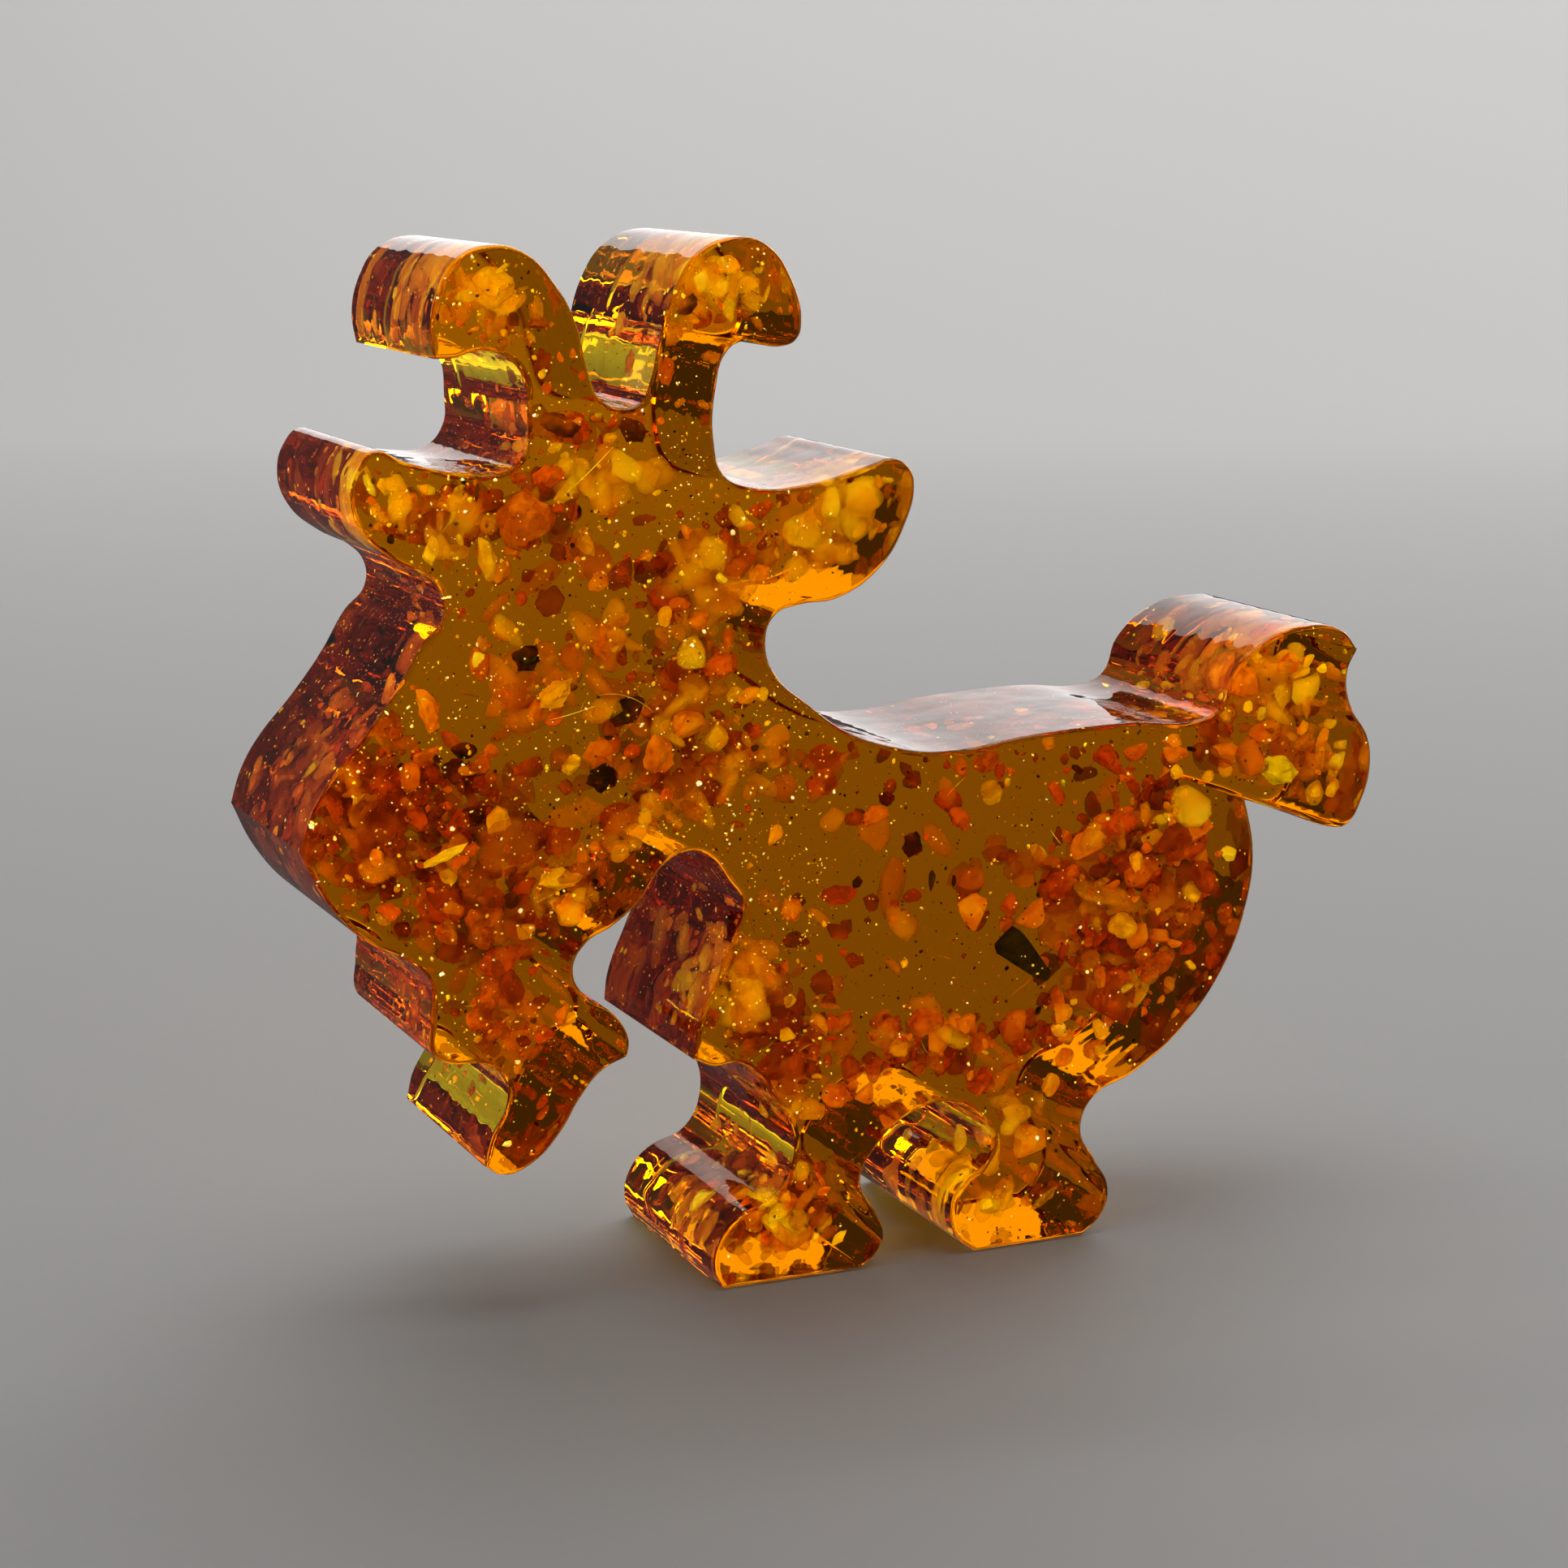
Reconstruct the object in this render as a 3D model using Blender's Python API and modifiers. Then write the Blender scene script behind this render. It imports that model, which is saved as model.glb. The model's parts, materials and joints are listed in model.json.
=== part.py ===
"""Amber goat figurine: a slab of clear amber cut to a goat's outline, with chips and a bark splinter sealed in it.

The goat faces -X and its front face looks along -Y. The origin is on the surface that the two soles stand on, at
the middle of the outline's width and of the slab's thickness.
"""

import math
import random

import bmesh
import bpy
from mathutils import Matrix, Vector

MM = 0.001

# Driving dimensions, in millimetres. The outline's knots give the height of 55 and the width of 62.
THICKNESS = 13.5
PARTING_GAP = 0.3
POCKET_GAP = 0.4
EDGE_ROUND = 0.3
EDGE_SEGMENTS = 2
OUTLINE_STEPS = 2
SPLINTER_THICKNESS = 0.9
WELD = 0.01
CHIP_UNEVENNESS = (0.78, 1.12)

CORNER = "corner"

# The outline's knots, as x and z in millimetres, clockwise from the left horn's tip. The curve runs smoothly
# through a knot unless it is marked as a corner.
HORN_LEFT = [
    (-23.5, 49.4, CORNER), (-23.7, 50.9), (-23.3, 52.7), (-22.3, 54.2), (-20.7, 54.8), (-18.8, 54.4),
    (-17.2, 52.8), (-16.2, 50.9), (-15.6, 48.6),
]
CROWN = [(-15.0, 47.2), (-13.8, 46.7), (-12.8, 47.0), (-12.3, 48.0)]
HORN_RIGHT = [
    (-11.9, 49.6), (-11.1, 52.4), (-9.7, 54.3), (-7.6, 55.0), (-6.0, 54.6), (-4.7, 53.0), (-4.1, 50.7),
    (-4.4, 49.8), (-5.2, 49.5), (-6.3, 49.6), (-7.3, 49.8), (-8.2, 49.3), (-8.8, 47.5),
]
EAR_RIGHT = [
    (-8.9, 44.7), (-8.4, 43.2), (-7.1, 42.5), (-3.6, 42.5), (-0.3, 43.3), (1.1, 43.6), (2.0, 43.1),
    (2.3, 42.2), (1.8, 40.2), (0.3, 37.9), (-2.1, 36.5), (-4.1, 36.3),
]
NECK = [(-5.6, 35.8), (-6.1, 34.3), (-5.5, 32.7), (-3.7, 31.1)]
BACK = [(-1.5, 29.5), (1.1, 28.5), (3.9, 28.0), (9.7, 28.5), (15.7, 28.7), (19.5, 28.5)]
TAIL = [
    (21.0, 29.1), (21.9, 31.1), (23.9, 32.7), (26.4, 33.3), (28.8, 32.9), (29.8, 31.8, CORNER), (29.2, 30.6),
    (29.4, 28.8), (30.6, 26.9), (30.9, 25.3), (30.4, 23.2), (29.4, 21.8), (28.4, 21.8), (25.7, 22.8),
    (22.8, 23.8, CORNER),
]
RUMP = [(23.4, 20.8), (23.0, 17.7), (21.6, 14.3), (19.0, 11.1), (15.9, 8.9)]
HIND_LEG = [(13.6, 7.9), (12.8, 6.1), (13.7, 4.3), (14.6, 2.5), (14.2, 1.0)]
HIND_SOLE = [(13.0, 0.0, CORNER), (6.3, 0.0, CORNER)]
BELLY = [
    (5.2, 1.0), (4.9, 3.0), (5.7, 4.1), (6.8, 4.9), (7.3, 6.3), (6.4, 7.8), (4.4, 8.7), (2.1, 8.2), (0.4, 6.8),
    (-0.6, 4.9),
]
FRONT_SOLE = [(0.3, 3.1), (0.8, 1.7), (0.3, 0.6), (-0.6, 0.0, CORNER), (-8.6, 0.0, CORNER)]
FRONT_LEG = [
    (-9.1, 1.2), (-8.8, 2.7), (-7.7, 3.9), (-5.4, 4.9), (-4.5, 6.8), (-4.8, 8.9), (-5.8, 10.3), (-6.5, 11.5),
    (-7.7, 12.3), (-9.1, 12.3),
]
CHEST = [(-10.2, 12.8, CORNER), (-10.0, 14.3), (-8.9, 17.0), (-7.8, 19.5), (-7.4, 20.9), (-8.2, 22.2)]
THROAT = [
    (-9.2, 23.5), (-10.4, 23.9), (-11.8, 23.3), (-13.1, 21.6), (-14.6, 20.4), (-16.1, 19.6), (-16.8, 18.3),
    (-16.2, 16.9), (-14.6, 15.7), (-13.8, 14.3),
]
BEARD = [
    (-13.9, 13.4, CORNER), (-15.3, 12.8), (-16.5, 11.5), (-17.6, 9.8), (-19.2, 8.3), (-20.7, 7.9),
    (-21.7, 8.5, CORNER), (-21.4, 9.8), (-20.4, 11.9), (-20.6, 13.0), (-21.5, 13.8),
]
MUZZLE = [
    (-23.7, 14.2), (-24.4, 14.8), (-24.4, 16.7), (-24.4, 18.5), (-25.2, 19.4), (-27.7, 20.9), (-29.7, 23.2),
]
FOREHEAD = [
    (-30.9, 25.7, CORNER), (-30.3, 27.5), (-29.4, 29.0), (-27.4, 31.3), (-25.8, 33.4), (-24.5, 35.5),
    (-23.4, 36.7), (-23.4, 38.0), (-24.3, 39.0),
]
EAR_LEFT = [
    (-25.7, 39.7), (-27.4, 41.2), (-27.9, 43.0), (-27.4, 44.5), (-26.7, 45.1), (-25.1, 44.5), (-22.0, 43.8),
    (-19.9, 43.9), (-18.9, 45.0),
]
NAPE = [(-18.8, 46.5), (-19.1, 48.6), (-20.1, 49.5), (-21.4, 49.7), (-22.5, 49.4)]

OUTLINE = (
    HORN_LEFT + CROWN + HORN_RIGHT + EAR_RIGHT + NECK + BACK + TAIL + RUMP + HIND_LEG + HIND_SOLE + BELLY
    + FRONT_SOLE + FRONT_LEG + CHEST + THROAT + BEARD + MUZZLE + FOREHEAD + EAR_LEFT + NAPE
)

# The bark splinter's outline on its own plane, and that plane's distance behind the middle of the slab.
SPLINTER = [
    (8.4, 16.6, CORNER), (9.5, 17.5, CORNER), (10.0, 17.1, CORNER), (11.7, 14.8, CORNER), (11.5, 14.3, CORNER),
    (10.8, 14.5, CORNER), (8.6, 16.0, CORNER),
]
SPLINTER_Y = -3.2

# Colours of the sealed chips: base colour and roughness.
CREAM = ("cream_amber", (0.80, 0.47, 0.12), 0.5)
YELLOW = ("yellow_amber", (0.85, 0.50, 0.04), 0.4)
ORANGE = ("orange_amber", (0.70, 0.24, 0.02), 0.4)
RED = ("red_amber", (0.36, 0.06, 0.01), 0.35)
DARK = ("dark_amber", (0.08, 0.025, 0.01), 0.5)

# Each sealed chip: name, colour, centre x, y, z, then length, depth and width, then the turn of its length from +X
# towards +Z in degrees. Sizes are in millimetres.
CHIPS = [
    ("chip_horn_left_yellow", YELLOW, (-18.9, -2.0, 51.9), (1.7, 1.3, 1.3), 20),
    ("chip_horn_left_red", RED, (-17.3, -3.4, 48.7), (1.9, 1.3, 1.2), 80),
    ("chip_horn_right_dark", DARK, (-6.6, -1.4, 52.3), (2.6, 1.8, 1.8), 80),
    ("chip_horn_right_orange", ORANGE, (-10.3, -1.8, 48.2), (1.7, 1.3, 1.1), 80),
    ("chip_crown_dark_left", DARK, (-16.5, -3.7, 45.8), (2.7, 1.2, 1.5), -20),
    ("chip_crown_dark_right", DARK, (-12.4, -2.8, 45.4), (1.8, 1.2, 1.4), -30),
    ("chip_crown_red", RED, (-17.4, -4.7, 43.4), (2.2, 1.0, 1.2), 12),
    ("chip_ear_left_yellow", YELLOW, (-25.4, -3.4, 43.2), (1.6, 1.2, 1.1), -20),
    ("chip_ear_left_red", RED, (-24.6, -1.2, 40.8), (1.7, 1.4, 1.1), -30),
    ("chip_ear_left_orange", ORANGE, (-22.1, -2.2, 42.1), (1.7, 1.4, 1.3), 35),
    ("chip_forehead_red", RED, (-18.0, -1.8, 40.4), (2.5, 1.5, 1.7), 80),
    ("chip_temple_orange", ORANGE, (-13.1, -0.2, 41.4), (1.7, 1.2, 1.4), 10),
    ("chip_ear_right_brown", RED, (-6.9, -1.8, 40.6), (2.1, 1.4, 1.6), 30),
    ("chip_ear_right_glow", YELLOW, (-1.5, -0.8, 39.5), (4.2, 3.2, 2.8), 25),
    ("chip_brow_cream", CREAM, (-20.6, -4.4, 39.3), (2.6, 0.9, 1.1), -82),
    ("chip_brow_orange", CREAM, (-15.0, -2.8, 39.8), (2.1, 1.1, 1.1), -72),
    ("chip_brow_red", RED, (-17.3, -4.3, 37.1), (2.0, 1.4, 1.9), 40),
    ("chip_neck_glow", ORANGE, (-8.3, -0.2, 36.8), (3.2, 2.4, 2.8), 60),
    ("chip_neck_red", RED, (-8.1, -4.4, 33.2), (2.4, 1.3, 1.7), 10),
    ("chip_cheek_orange", ORANGE, (-13.8, -1.5, 34.6), (2.4, 1.4, 1.8), 75),
    ("chip_cheek_brown", DARK, (-18.4, -3.7, 34.2), (1.6, 1.0, 1.5), -40),
    ("chip_face_orange", ORANGE, (-23.6, -3.4, 31.9), (3.0, 1.2, 1.3), -72),
    ("chip_face_amber", YELLOW, (-16.6, -2.5, 32.2), (2.2, 1.3, 1.5), 20),
    ("chip_throat_dark", DARK, (-13.1, -3.4, 31.1), (2.9, 1.3, 1.5), 42),
    ("chip_withers_glow", YELLOW, (-9.6, 1.9, 30.3), (2.2, 1.8, 1.8), 10),
    ("chip_cheek_red", RED, (-24.1, -1.2, 28.2), (3.5, 1.8, 1.9), 10),
    ("chip_shoulder_dark", DARK, (-14.2, -2.8, 27.6), (2.0, 1.2, 1.5), -10),
    ("chip_shoulder_orange", ORANGE, (-11.2, -3.6, 28.3), (1.7, 1.2, 1.3), 15),
    ("chip_shoulder_glow", ORANGE, (-7.4, 0.2, 27.4), (2.9, 2.0, 2.2), 25),
    ("chip_cheek_cream", CREAM, (-19.9, -2.8, 25.9), (1.9, 1.2, 1.6), 70),
    ("chip_muzzle_sliver", CREAM, (-23.2, -4.9, 24.6), (2.8, 0.6, 0.6), 20),
    ("chip_muzzle_red", RED, (-27.0, -2.0, 23.6), (2.9, 1.6, 1.8), -20),
    ("chip_jaw_orange", CREAM, (-16.8, -3.6, 22.6), (2.5, 1.1, 1.3), -8),
    ("chip_jaw_dark", RED, (-20.0, -1.2, 21.5), (1.9, 1.5, 1.8), 50),
    ("chip_beard_orange", ORANGE, (-20.2, -1.7, 16.8), (2.1, 1.4, 1.7), 60),
    ("chip_back_brown", RED, (-1.6, -1.8, 26.3), (2.1, 1.4, 1.8), 20),
    ("chip_back_orange", ORANGE, (1.2, -2.8, 24.4), (1.8, 1.0, 1.2), 20),
    ("chip_flank_brown", DARK, (3.9, -1.2, 22.4), (1.6, 1.2, 1.4), 50),
    ("chip_flank_orange", ORANGE, (-3.4, -1.8, 19.5), (1.7, 1.4, 1.6), 30),
    ("chip_flank_red", RED, (7.3, -1.2, 19.7), (2.3, 1.5, 1.8), 30),
    ("chip_thigh_orange", ORANGE, (13.6, 0.8, 18.9), (2.4, 1.6, 1.9), 40),
    ("chip_leg_red", RED, (-2.9, -0.8, 13.2), (4.2, 1.4, 1.2), 76),
    ("chip_belly_orange", ORANGE, (2.6, -1.8, 11.6), (3.6, 1.8, 1.9), 85),
    ("chip_rump_orange", ORANGE, (16.8, -1.2, 22.5), (2.3, 1.5, 2.0), 80),
    ("chip_rump_red", RED, (20.9, -1.8, 20.7), (2.7, 1.4, 1.5), 10),
    ("chip_thigh_glow", ORANGE, (17.2, -1.8, 12.6), (3.0, 1.8, 1.9), 20),
    ("chip_tail_green", ("green_amber", (0.50, 0.46, 0.02), 0.4), (26.3, -2.8, 24.8), (3.0, 1.2, 1.8), -25),
    ("chip_tail_orange", ORANGE, (25.3, -0.8, 30.0), (2.0, 1.3, 1.5), 30),
    ("chip_foot_red", RED, (-5.6, -2.2, 2.4), (2.0, 1.4, 1.8), 50),
]


def clear_scene():
    """Start from an empty scene."""
    for existing in list(bpy.data.objects):
        bpy.data.objects.remove(existing, do_unlink=True)


def new_collection(name):
    collection = bpy.data.collections.new(name)
    bpy.context.scene.collection.children.link(collection)
    return collection


def material(name, colour, roughness, transmission=0.0):
    """A Principled material, made once for each name."""
    made = bpy.data.materials.get(name)
    if made is None:
        made = bpy.data.materials.new(name)
        made.use_nodes = True
        shader = made.node_tree.nodes["Principled BSDF"]
        shader.inputs["Base Color"].default_value = (*colour, 1.0)
        shader.inputs["Roughness"].default_value = roughness
        shader.inputs["Metallic"].default_value = 0.0
        shader.inputs["Transmission Weight"].default_value = transmission
    return made


def flat_slab(name, knots, y_front, y_back, collection):
    """A closed slab with the knots' outline, between two planes across Y, as a mesh with one face on each side."""
    curve = bpy.data.curves.new(name, "CURVE")
    curve.dimensions = "2D"
    curve.fill_mode = "BOTH"
    curve.extrude = 0.5 * (y_back - y_front) * MM
    curve.resolution_u = OUTLINE_STEPS
    spline = curve.splines.new("BEZIER")
    spline.bezier_points.add(len(knots) - 1)
    for point, knot in zip(spline.bezier_points, knots):
        point.co = (knot[0] * MM, knot[1] * MM, 0.0)
    for point, knot in zip(spline.bezier_points, knots):
        handle = "VECTOR" if CORNER in knot else "AUTO"
        point.handle_left_type = handle
        point.handle_right_type = handle
    spline.use_cyclic_u = True

    drawn = bpy.data.objects.new(name + "_outline", curve)
    drawn.location = (0.0, 0.5 * (y_front + y_back) * MM, 0.0)
    drawn.rotation_euler = (math.radians(90), 0.0, 0.0)
    collection.objects.link(drawn)
    bpy.context.view_layer.update()

    evaluated = drawn.evaluated_get(bpy.context.evaluated_depsgraph_get())
    mesh = bpy.data.meshes.new_from_object(evaluated)
    mesh.name = name
    mesh.transform(drawn.matrix_world)
    slab = bpy.data.objects.new(name, mesh)
    collection.objects.link(slab)
    bpy.data.objects.remove(drawn, do_unlink=True)

    shape = bmesh.new()
    shape.from_mesh(mesh)
    bmesh.ops.remove_doubles(shape, verts=shape.verts, dist=WELD * MM)
    shape.normal_update()
    for side in (-1.0, 1.0):
        cap = [face for face in shape.faces if face.normal.y * side > 0.99]
        bmesh.ops.dissolve_faces(shape, faces=cap)
    bmesh.ops.recalc_face_normals(shape, faces=shape.faces)
    shape.to_mesh(mesh)
    shape.free()
    return slab


def round_face_edges(slab, y_face):
    """Round the edges of the slab's outer face."""
    shape = bmesh.new()
    shape.from_mesh(slab.data)
    weight = shape.edges.layers.float.new("bevel_weight_edge")
    for edge in shape.edges:
        if all(abs(vert.co.y - y_face * MM) < WELD * MM for vert in edge.verts):
            edge[weight] = 1.0
    shape.to_mesh(slab.data)
    shape.free()
    bevel = slab.modifiers.new("edge_round", "BEVEL")
    bevel.limit_method = "WEIGHT"
    bevel.width = EDGE_ROUND * MM
    bevel.segments = EDGE_SEGMENTS
    bevel.use_clamp_overlap = False


def chip_points(centre, size, turn, seed, gap=0.0):
    """Corners of one broken chip: an icosahedron with uneven corners, stretched to the size and turned."""
    shape = bmesh.new()
    bmesh.ops.create_icosphere(shape, subdivisions=1, radius=1.0)
    uneven = random.Random(seed)
    stretch = Vector([0.5 * side + gap for side in size])
    turned = Matrix.Rotation(-math.radians(turn), 3, "Y")
    points = []
    for vert in shape.verts:
        corner = vert.co * uneven.uniform(*CHIP_UNEVENNESS)
        points.append((turned @ (corner * stretch) + Vector(centre)) * MM)
    shape.free()
    return points


def hull_mesh(name, points):
    """The closed convex mesh around a set of points."""
    shape = bmesh.new()
    verts = [shape.verts.new(point) for point in points]
    hull = bmesh.ops.convex_hull(shape, input=verts)
    inside = [item for item in hull["geom_interior"] if isinstance(item, bmesh.types.BMVert)]
    bmesh.ops.delete(shape, geom=inside, context="VERTS")
    bmesh.ops.recalc_face_normals(shape, faces=shape.faces)
    mesh = bpy.data.meshes.new(name)
    shape.to_mesh(mesh)
    shape.free()
    return mesh


def add_pocket(name, points, collection):
    """A cutter around a sealed piece. It reaches the plane where the clear amber is parted, so the piece gets in."""
    lowest = min(point.y for point in points)
    highest = max(point.y for point in points)
    if lowest > 0.0 or highest < 0.0:
        points = points + [Vector((point.x, 0.0, point.z)) for point in points]
    pocket = bpy.data.objects.new(name + "_pocket", hull_mesh(name + "_pocket", points))
    pocket.display_type = "WIRE"
    pocket.hide_render = True
    collection.objects.link(pocket)
    return pocket


def cut_pockets(half, pockets):
    """Cut the pockets out of one half of the clear amber."""
    cut = half.modifiers.new("pockets", "BOOLEAN")
    cut.operation = "DIFFERENCE"
    cut.operand_type = "COLLECTION"
    cut.collection = pockets
    cut.solver = "EXACT"


def build_halves(figurine, pockets):
    """The clear body, parted at the middle of its thickness."""
    clear = material("clear_amber", (0.85, 0.45, 0.05), 0.05, transmission=1.0)
    face = 0.5 * THICKNESS
    part = 0.5 * PARTING_GAP
    for name, y_front, y_back, y_face in (
        ("amber_front_half", -face, -part, -face),
        ("amber_back_half", part, face, face),
    ):
        half = flat_slab(name, OUTLINE, y_front, y_back, figurine)
        half.data.materials.append(clear)
        round_face_edges(half, y_face)
        cut_pockets(half, pockets)


def build_splinter(figurine, pockets):
    """The black splinter of bark, a thin flat piece, and its pocket."""
    y_front = SPLINTER_Y - 0.5 * SPLINTER_THICKNESS
    y_back = SPLINTER_Y + 0.5 * SPLINTER_THICKNESS
    splinter = flat_slab("bark_splinter", SPLINTER, y_front, y_back, figurine)
    splinter.data.materials.append(material("bark", (0.02, 0.014, 0.01), 0.7))
    centre = sum((vert.co for vert in splinter.data.vertices), Vector()) / len(splinter.data.vertices)
    points = []
    for vert in splinter.data.vertices:
        offset = vert.co - centre
        side = math.copysign(POCKET_GAP * MM, offset.y)
        outward = Vector((offset.x, 0.0, offset.z)).normalized() * POCKET_GAP * MM
        points.append(vert.co + outward + Vector((0.0, side, 0.0)))
    add_pocket("bark_splinter", points, pockets)


def build_chips(figurine, pockets):
    """Every sealed chip that is large enough for a node of its own, and its pocket."""
    for seed, (name, (colour_name, colour, roughness), centre, size, turn) in enumerate(CHIPS):
        mesh = hull_mesh(name, chip_points(centre, size, turn, seed))
        mesh.materials.append(material(colour_name, colour, roughness))
        figurine.objects.link(bpy.data.objects.new(name, mesh))
        add_pocket(name, chip_points(centre, size, turn, seed, gap=POCKET_GAP), pockets)


def main():
    clear_scene()
    figurine = new_collection("amber_goat_figurine")
    pockets = new_collection("pockets")
    build_splinter(figurine, pockets)
    build_chips(figurine, pockets)
    build_halves(figurine, pockets)


main()
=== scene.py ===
"""Amber goat figurine: one clear amber slab cut to a goat's outline, full of chips, flakes and grit.

Places and sizes are in millimetres in the part's frame, unless a comment says otherwise. The goat faces -X,
and its front face looks along -Y.
"""

import math

import bmesh
import bpy
import numpy as np
from mathutils import Matrix, Vector, geometry, noise
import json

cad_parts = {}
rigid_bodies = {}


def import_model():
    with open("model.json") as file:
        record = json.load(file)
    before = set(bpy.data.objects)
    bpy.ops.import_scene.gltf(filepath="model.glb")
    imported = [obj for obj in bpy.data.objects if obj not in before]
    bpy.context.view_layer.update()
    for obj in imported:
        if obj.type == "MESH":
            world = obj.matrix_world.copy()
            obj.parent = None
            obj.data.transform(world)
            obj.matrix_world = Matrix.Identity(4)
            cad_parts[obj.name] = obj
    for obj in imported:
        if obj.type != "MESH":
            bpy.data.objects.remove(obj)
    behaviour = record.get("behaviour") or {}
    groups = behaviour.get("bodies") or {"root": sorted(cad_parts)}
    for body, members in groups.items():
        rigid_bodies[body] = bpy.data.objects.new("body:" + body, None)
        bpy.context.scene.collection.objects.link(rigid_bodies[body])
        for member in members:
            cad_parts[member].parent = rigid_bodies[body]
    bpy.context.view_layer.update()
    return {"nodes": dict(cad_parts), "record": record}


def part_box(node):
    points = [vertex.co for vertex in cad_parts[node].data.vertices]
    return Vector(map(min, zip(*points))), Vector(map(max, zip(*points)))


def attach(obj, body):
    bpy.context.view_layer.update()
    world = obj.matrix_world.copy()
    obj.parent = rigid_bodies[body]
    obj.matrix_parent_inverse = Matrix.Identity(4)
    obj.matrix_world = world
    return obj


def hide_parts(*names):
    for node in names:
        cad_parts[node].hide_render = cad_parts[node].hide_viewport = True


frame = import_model()

MM = 0.001
BODY = "root"
CORNER = "corner"

# The camera, from the photograph: its place in millimetres, its turn, dip and field in degrees
CAMERA_PLACE = (-73.5, -161.2, 61.3)
CAMERA_TURN = 23.87
CAMERA_DIP = 11.47
CAMERA_FIELD = 26.46

# The clear slab: its faces and rounded edges, the curve's steps from knot to knot, and how close corners are
# to be welded
THICKNESS = 13.5
FACE_Y = 0.5 * THICKNESS
EDGE_ROUND = 0.3
EDGE_SEGMENTS = 4
OUTLINE_STEPS = 6
WELD = 0.002

# The outline's knots, as x and z, clockwise from the left horn's tip
HORN_LEFT = [
    (-23.5, 49.4, CORNER), (-23.7, 50.9), (-23.3, 52.7), (-22.3, 54.2), (-20.7, 54.8), (-18.8, 54.4),
    (-17.2, 52.8), (-16.2, 50.9), (-15.6, 48.6),
]
CROWN = [(-15.0, 47.2), (-13.8, 46.7), (-12.8, 47.0), (-12.3, 48.0)]
HORN_RIGHT = [
    (-11.9, 49.6), (-11.1, 52.4), (-9.7, 54.3), (-7.6, 55.0), (-6.0, 54.6), (-4.7, 53.0), (-4.1, 50.7),
    (-4.4, 49.8), (-5.2, 49.5), (-6.3, 49.6), (-7.3, 49.8), (-8.2, 49.3), (-8.8, 47.5),
]
EAR_RIGHT = [
    (-8.9, 44.7), (-8.4, 43.2), (-7.1, 42.5), (-3.6, 42.5), (-0.3, 43.3), (1.1, 43.6), (2.0, 43.1),
    (2.3, 42.2), (1.8, 40.2), (0.3, 37.9), (-2.1, 36.5), (-4.1, 36.3),
]
NECK = [(-5.6, 35.8), (-6.1, 34.3), (-5.5, 32.7), (-3.7, 31.1)]
BACK = [(-1.5, 29.5), (1.1, 28.5), (3.9, 28.0), (9.7, 28.5), (15.7, 28.7), (19.5, 28.5)]
TAIL = [
    (21.0, 29.1), (21.9, 31.1), (23.9, 32.7), (26.4, 33.3), (28.8, 32.9), (29.8, 31.8, CORNER), (29.2, 30.6),
    (29.4, 28.8), (30.6, 26.9), (30.9, 25.3), (30.4, 23.2), (29.4, 21.8), (28.4, 21.8), (25.7, 22.8),
    (22.8, 23.8, CORNER),
]
RUMP = [(23.4, 20.8), (23.0, 17.7), (21.6, 14.3), (19.0, 11.1), (15.9, 8.9)]
HIND_LEG = [(13.6, 7.9), (12.8, 6.1), (13.7, 4.3), (14.6, 2.5), (14.2, 1.0)]
HIND_SOLE = [(13.0, 0.0, CORNER), (6.3, 0.0, CORNER)]
BELLY = [
    (5.2, 1.0), (4.9, 3.0), (5.7, 4.1), (6.8, 4.9), (7.3, 6.3), (6.4, 7.8), (4.4, 8.7), (2.1, 8.2),
    (0.4, 6.8), (-0.6, 4.9),
]
FRONT_SOLE = [(0.3, 3.1), (0.8, 1.7), (0.3, 0.6), (-0.6, 0.0, CORNER), (-8.6, 0.0, CORNER)]
FRONT_LEG = [
    (-9.1, 1.2), (-8.8, 2.7), (-7.7, 3.9), (-5.4, 4.9), (-4.5, 6.8), (-4.8, 8.9), (-5.8, 10.3), (-6.5, 11.5),
    (-7.7, 12.3), (-9.1, 12.3),
]
CHEST = [(-10.2, 12.8, CORNER), (-10.0, 14.3), (-8.9, 17.0), (-7.8, 19.5), (-7.4, 20.9), (-8.2, 22.2)]
THROAT = [
    (-9.2, 23.5), (-10.4, 23.9), (-11.8, 23.3), (-13.1, 21.6), (-14.6, 20.4), (-16.1, 19.6), (-16.8, 18.3),
    (-16.2, 16.9), (-14.6, 15.7), (-13.8, 14.3),
]
BEARD = [
    (-13.9, 13.4, CORNER), (-15.3, 12.8), (-16.5, 11.5), (-17.6, 9.8), (-19.2, 8.3), (-20.7, 7.9),
    (-21.7, 8.5, CORNER), (-21.4, 9.8), (-20.4, 11.9), (-20.6, 13.0), (-21.5, 13.8),
]
MUZZLE = [
    (-23.7, 14.2), (-24.4, 14.8), (-24.4, 16.7), (-24.4, 18.5), (-25.2, 19.4), (-27.7, 20.9), (-29.7, 23.2),
]
FOREHEAD = [
    (-30.9, 25.7, CORNER), (-30.3, 27.5), (-29.4, 29.0), (-27.4, 31.3), (-25.8, 33.4), (-24.5, 35.5),
    (-23.4, 36.7), (-23.4, 38.0), (-24.3, 39.0),
]
EAR_LEFT = [
    (-25.7, 39.7), (-27.4, 41.2), (-27.9, 43.0), (-27.4, 44.5), (-26.7, 45.1), (-25.1, 44.5), (-22.0, 43.8),
    (-19.9, 43.9), (-18.9, 45.0),
]
NAPE = [(-18.8, 46.5), (-19.1, 48.6), (-20.1, 49.5), (-21.4, 49.7), (-22.5, 49.4)]

OUTLINE = (
    HORN_LEFT + CROWN + HORN_RIGHT + EAR_RIGHT + NECK + BACK + TAIL + RUMP + HIND_LEG + HIND_SOLE + BELLY
    + FRONT_SOLE + FRONT_LEG + CHEST + THROAT + BEARD + MUZZLE + FOREHEAD + EAR_LEFT + NAPE
)

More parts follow.
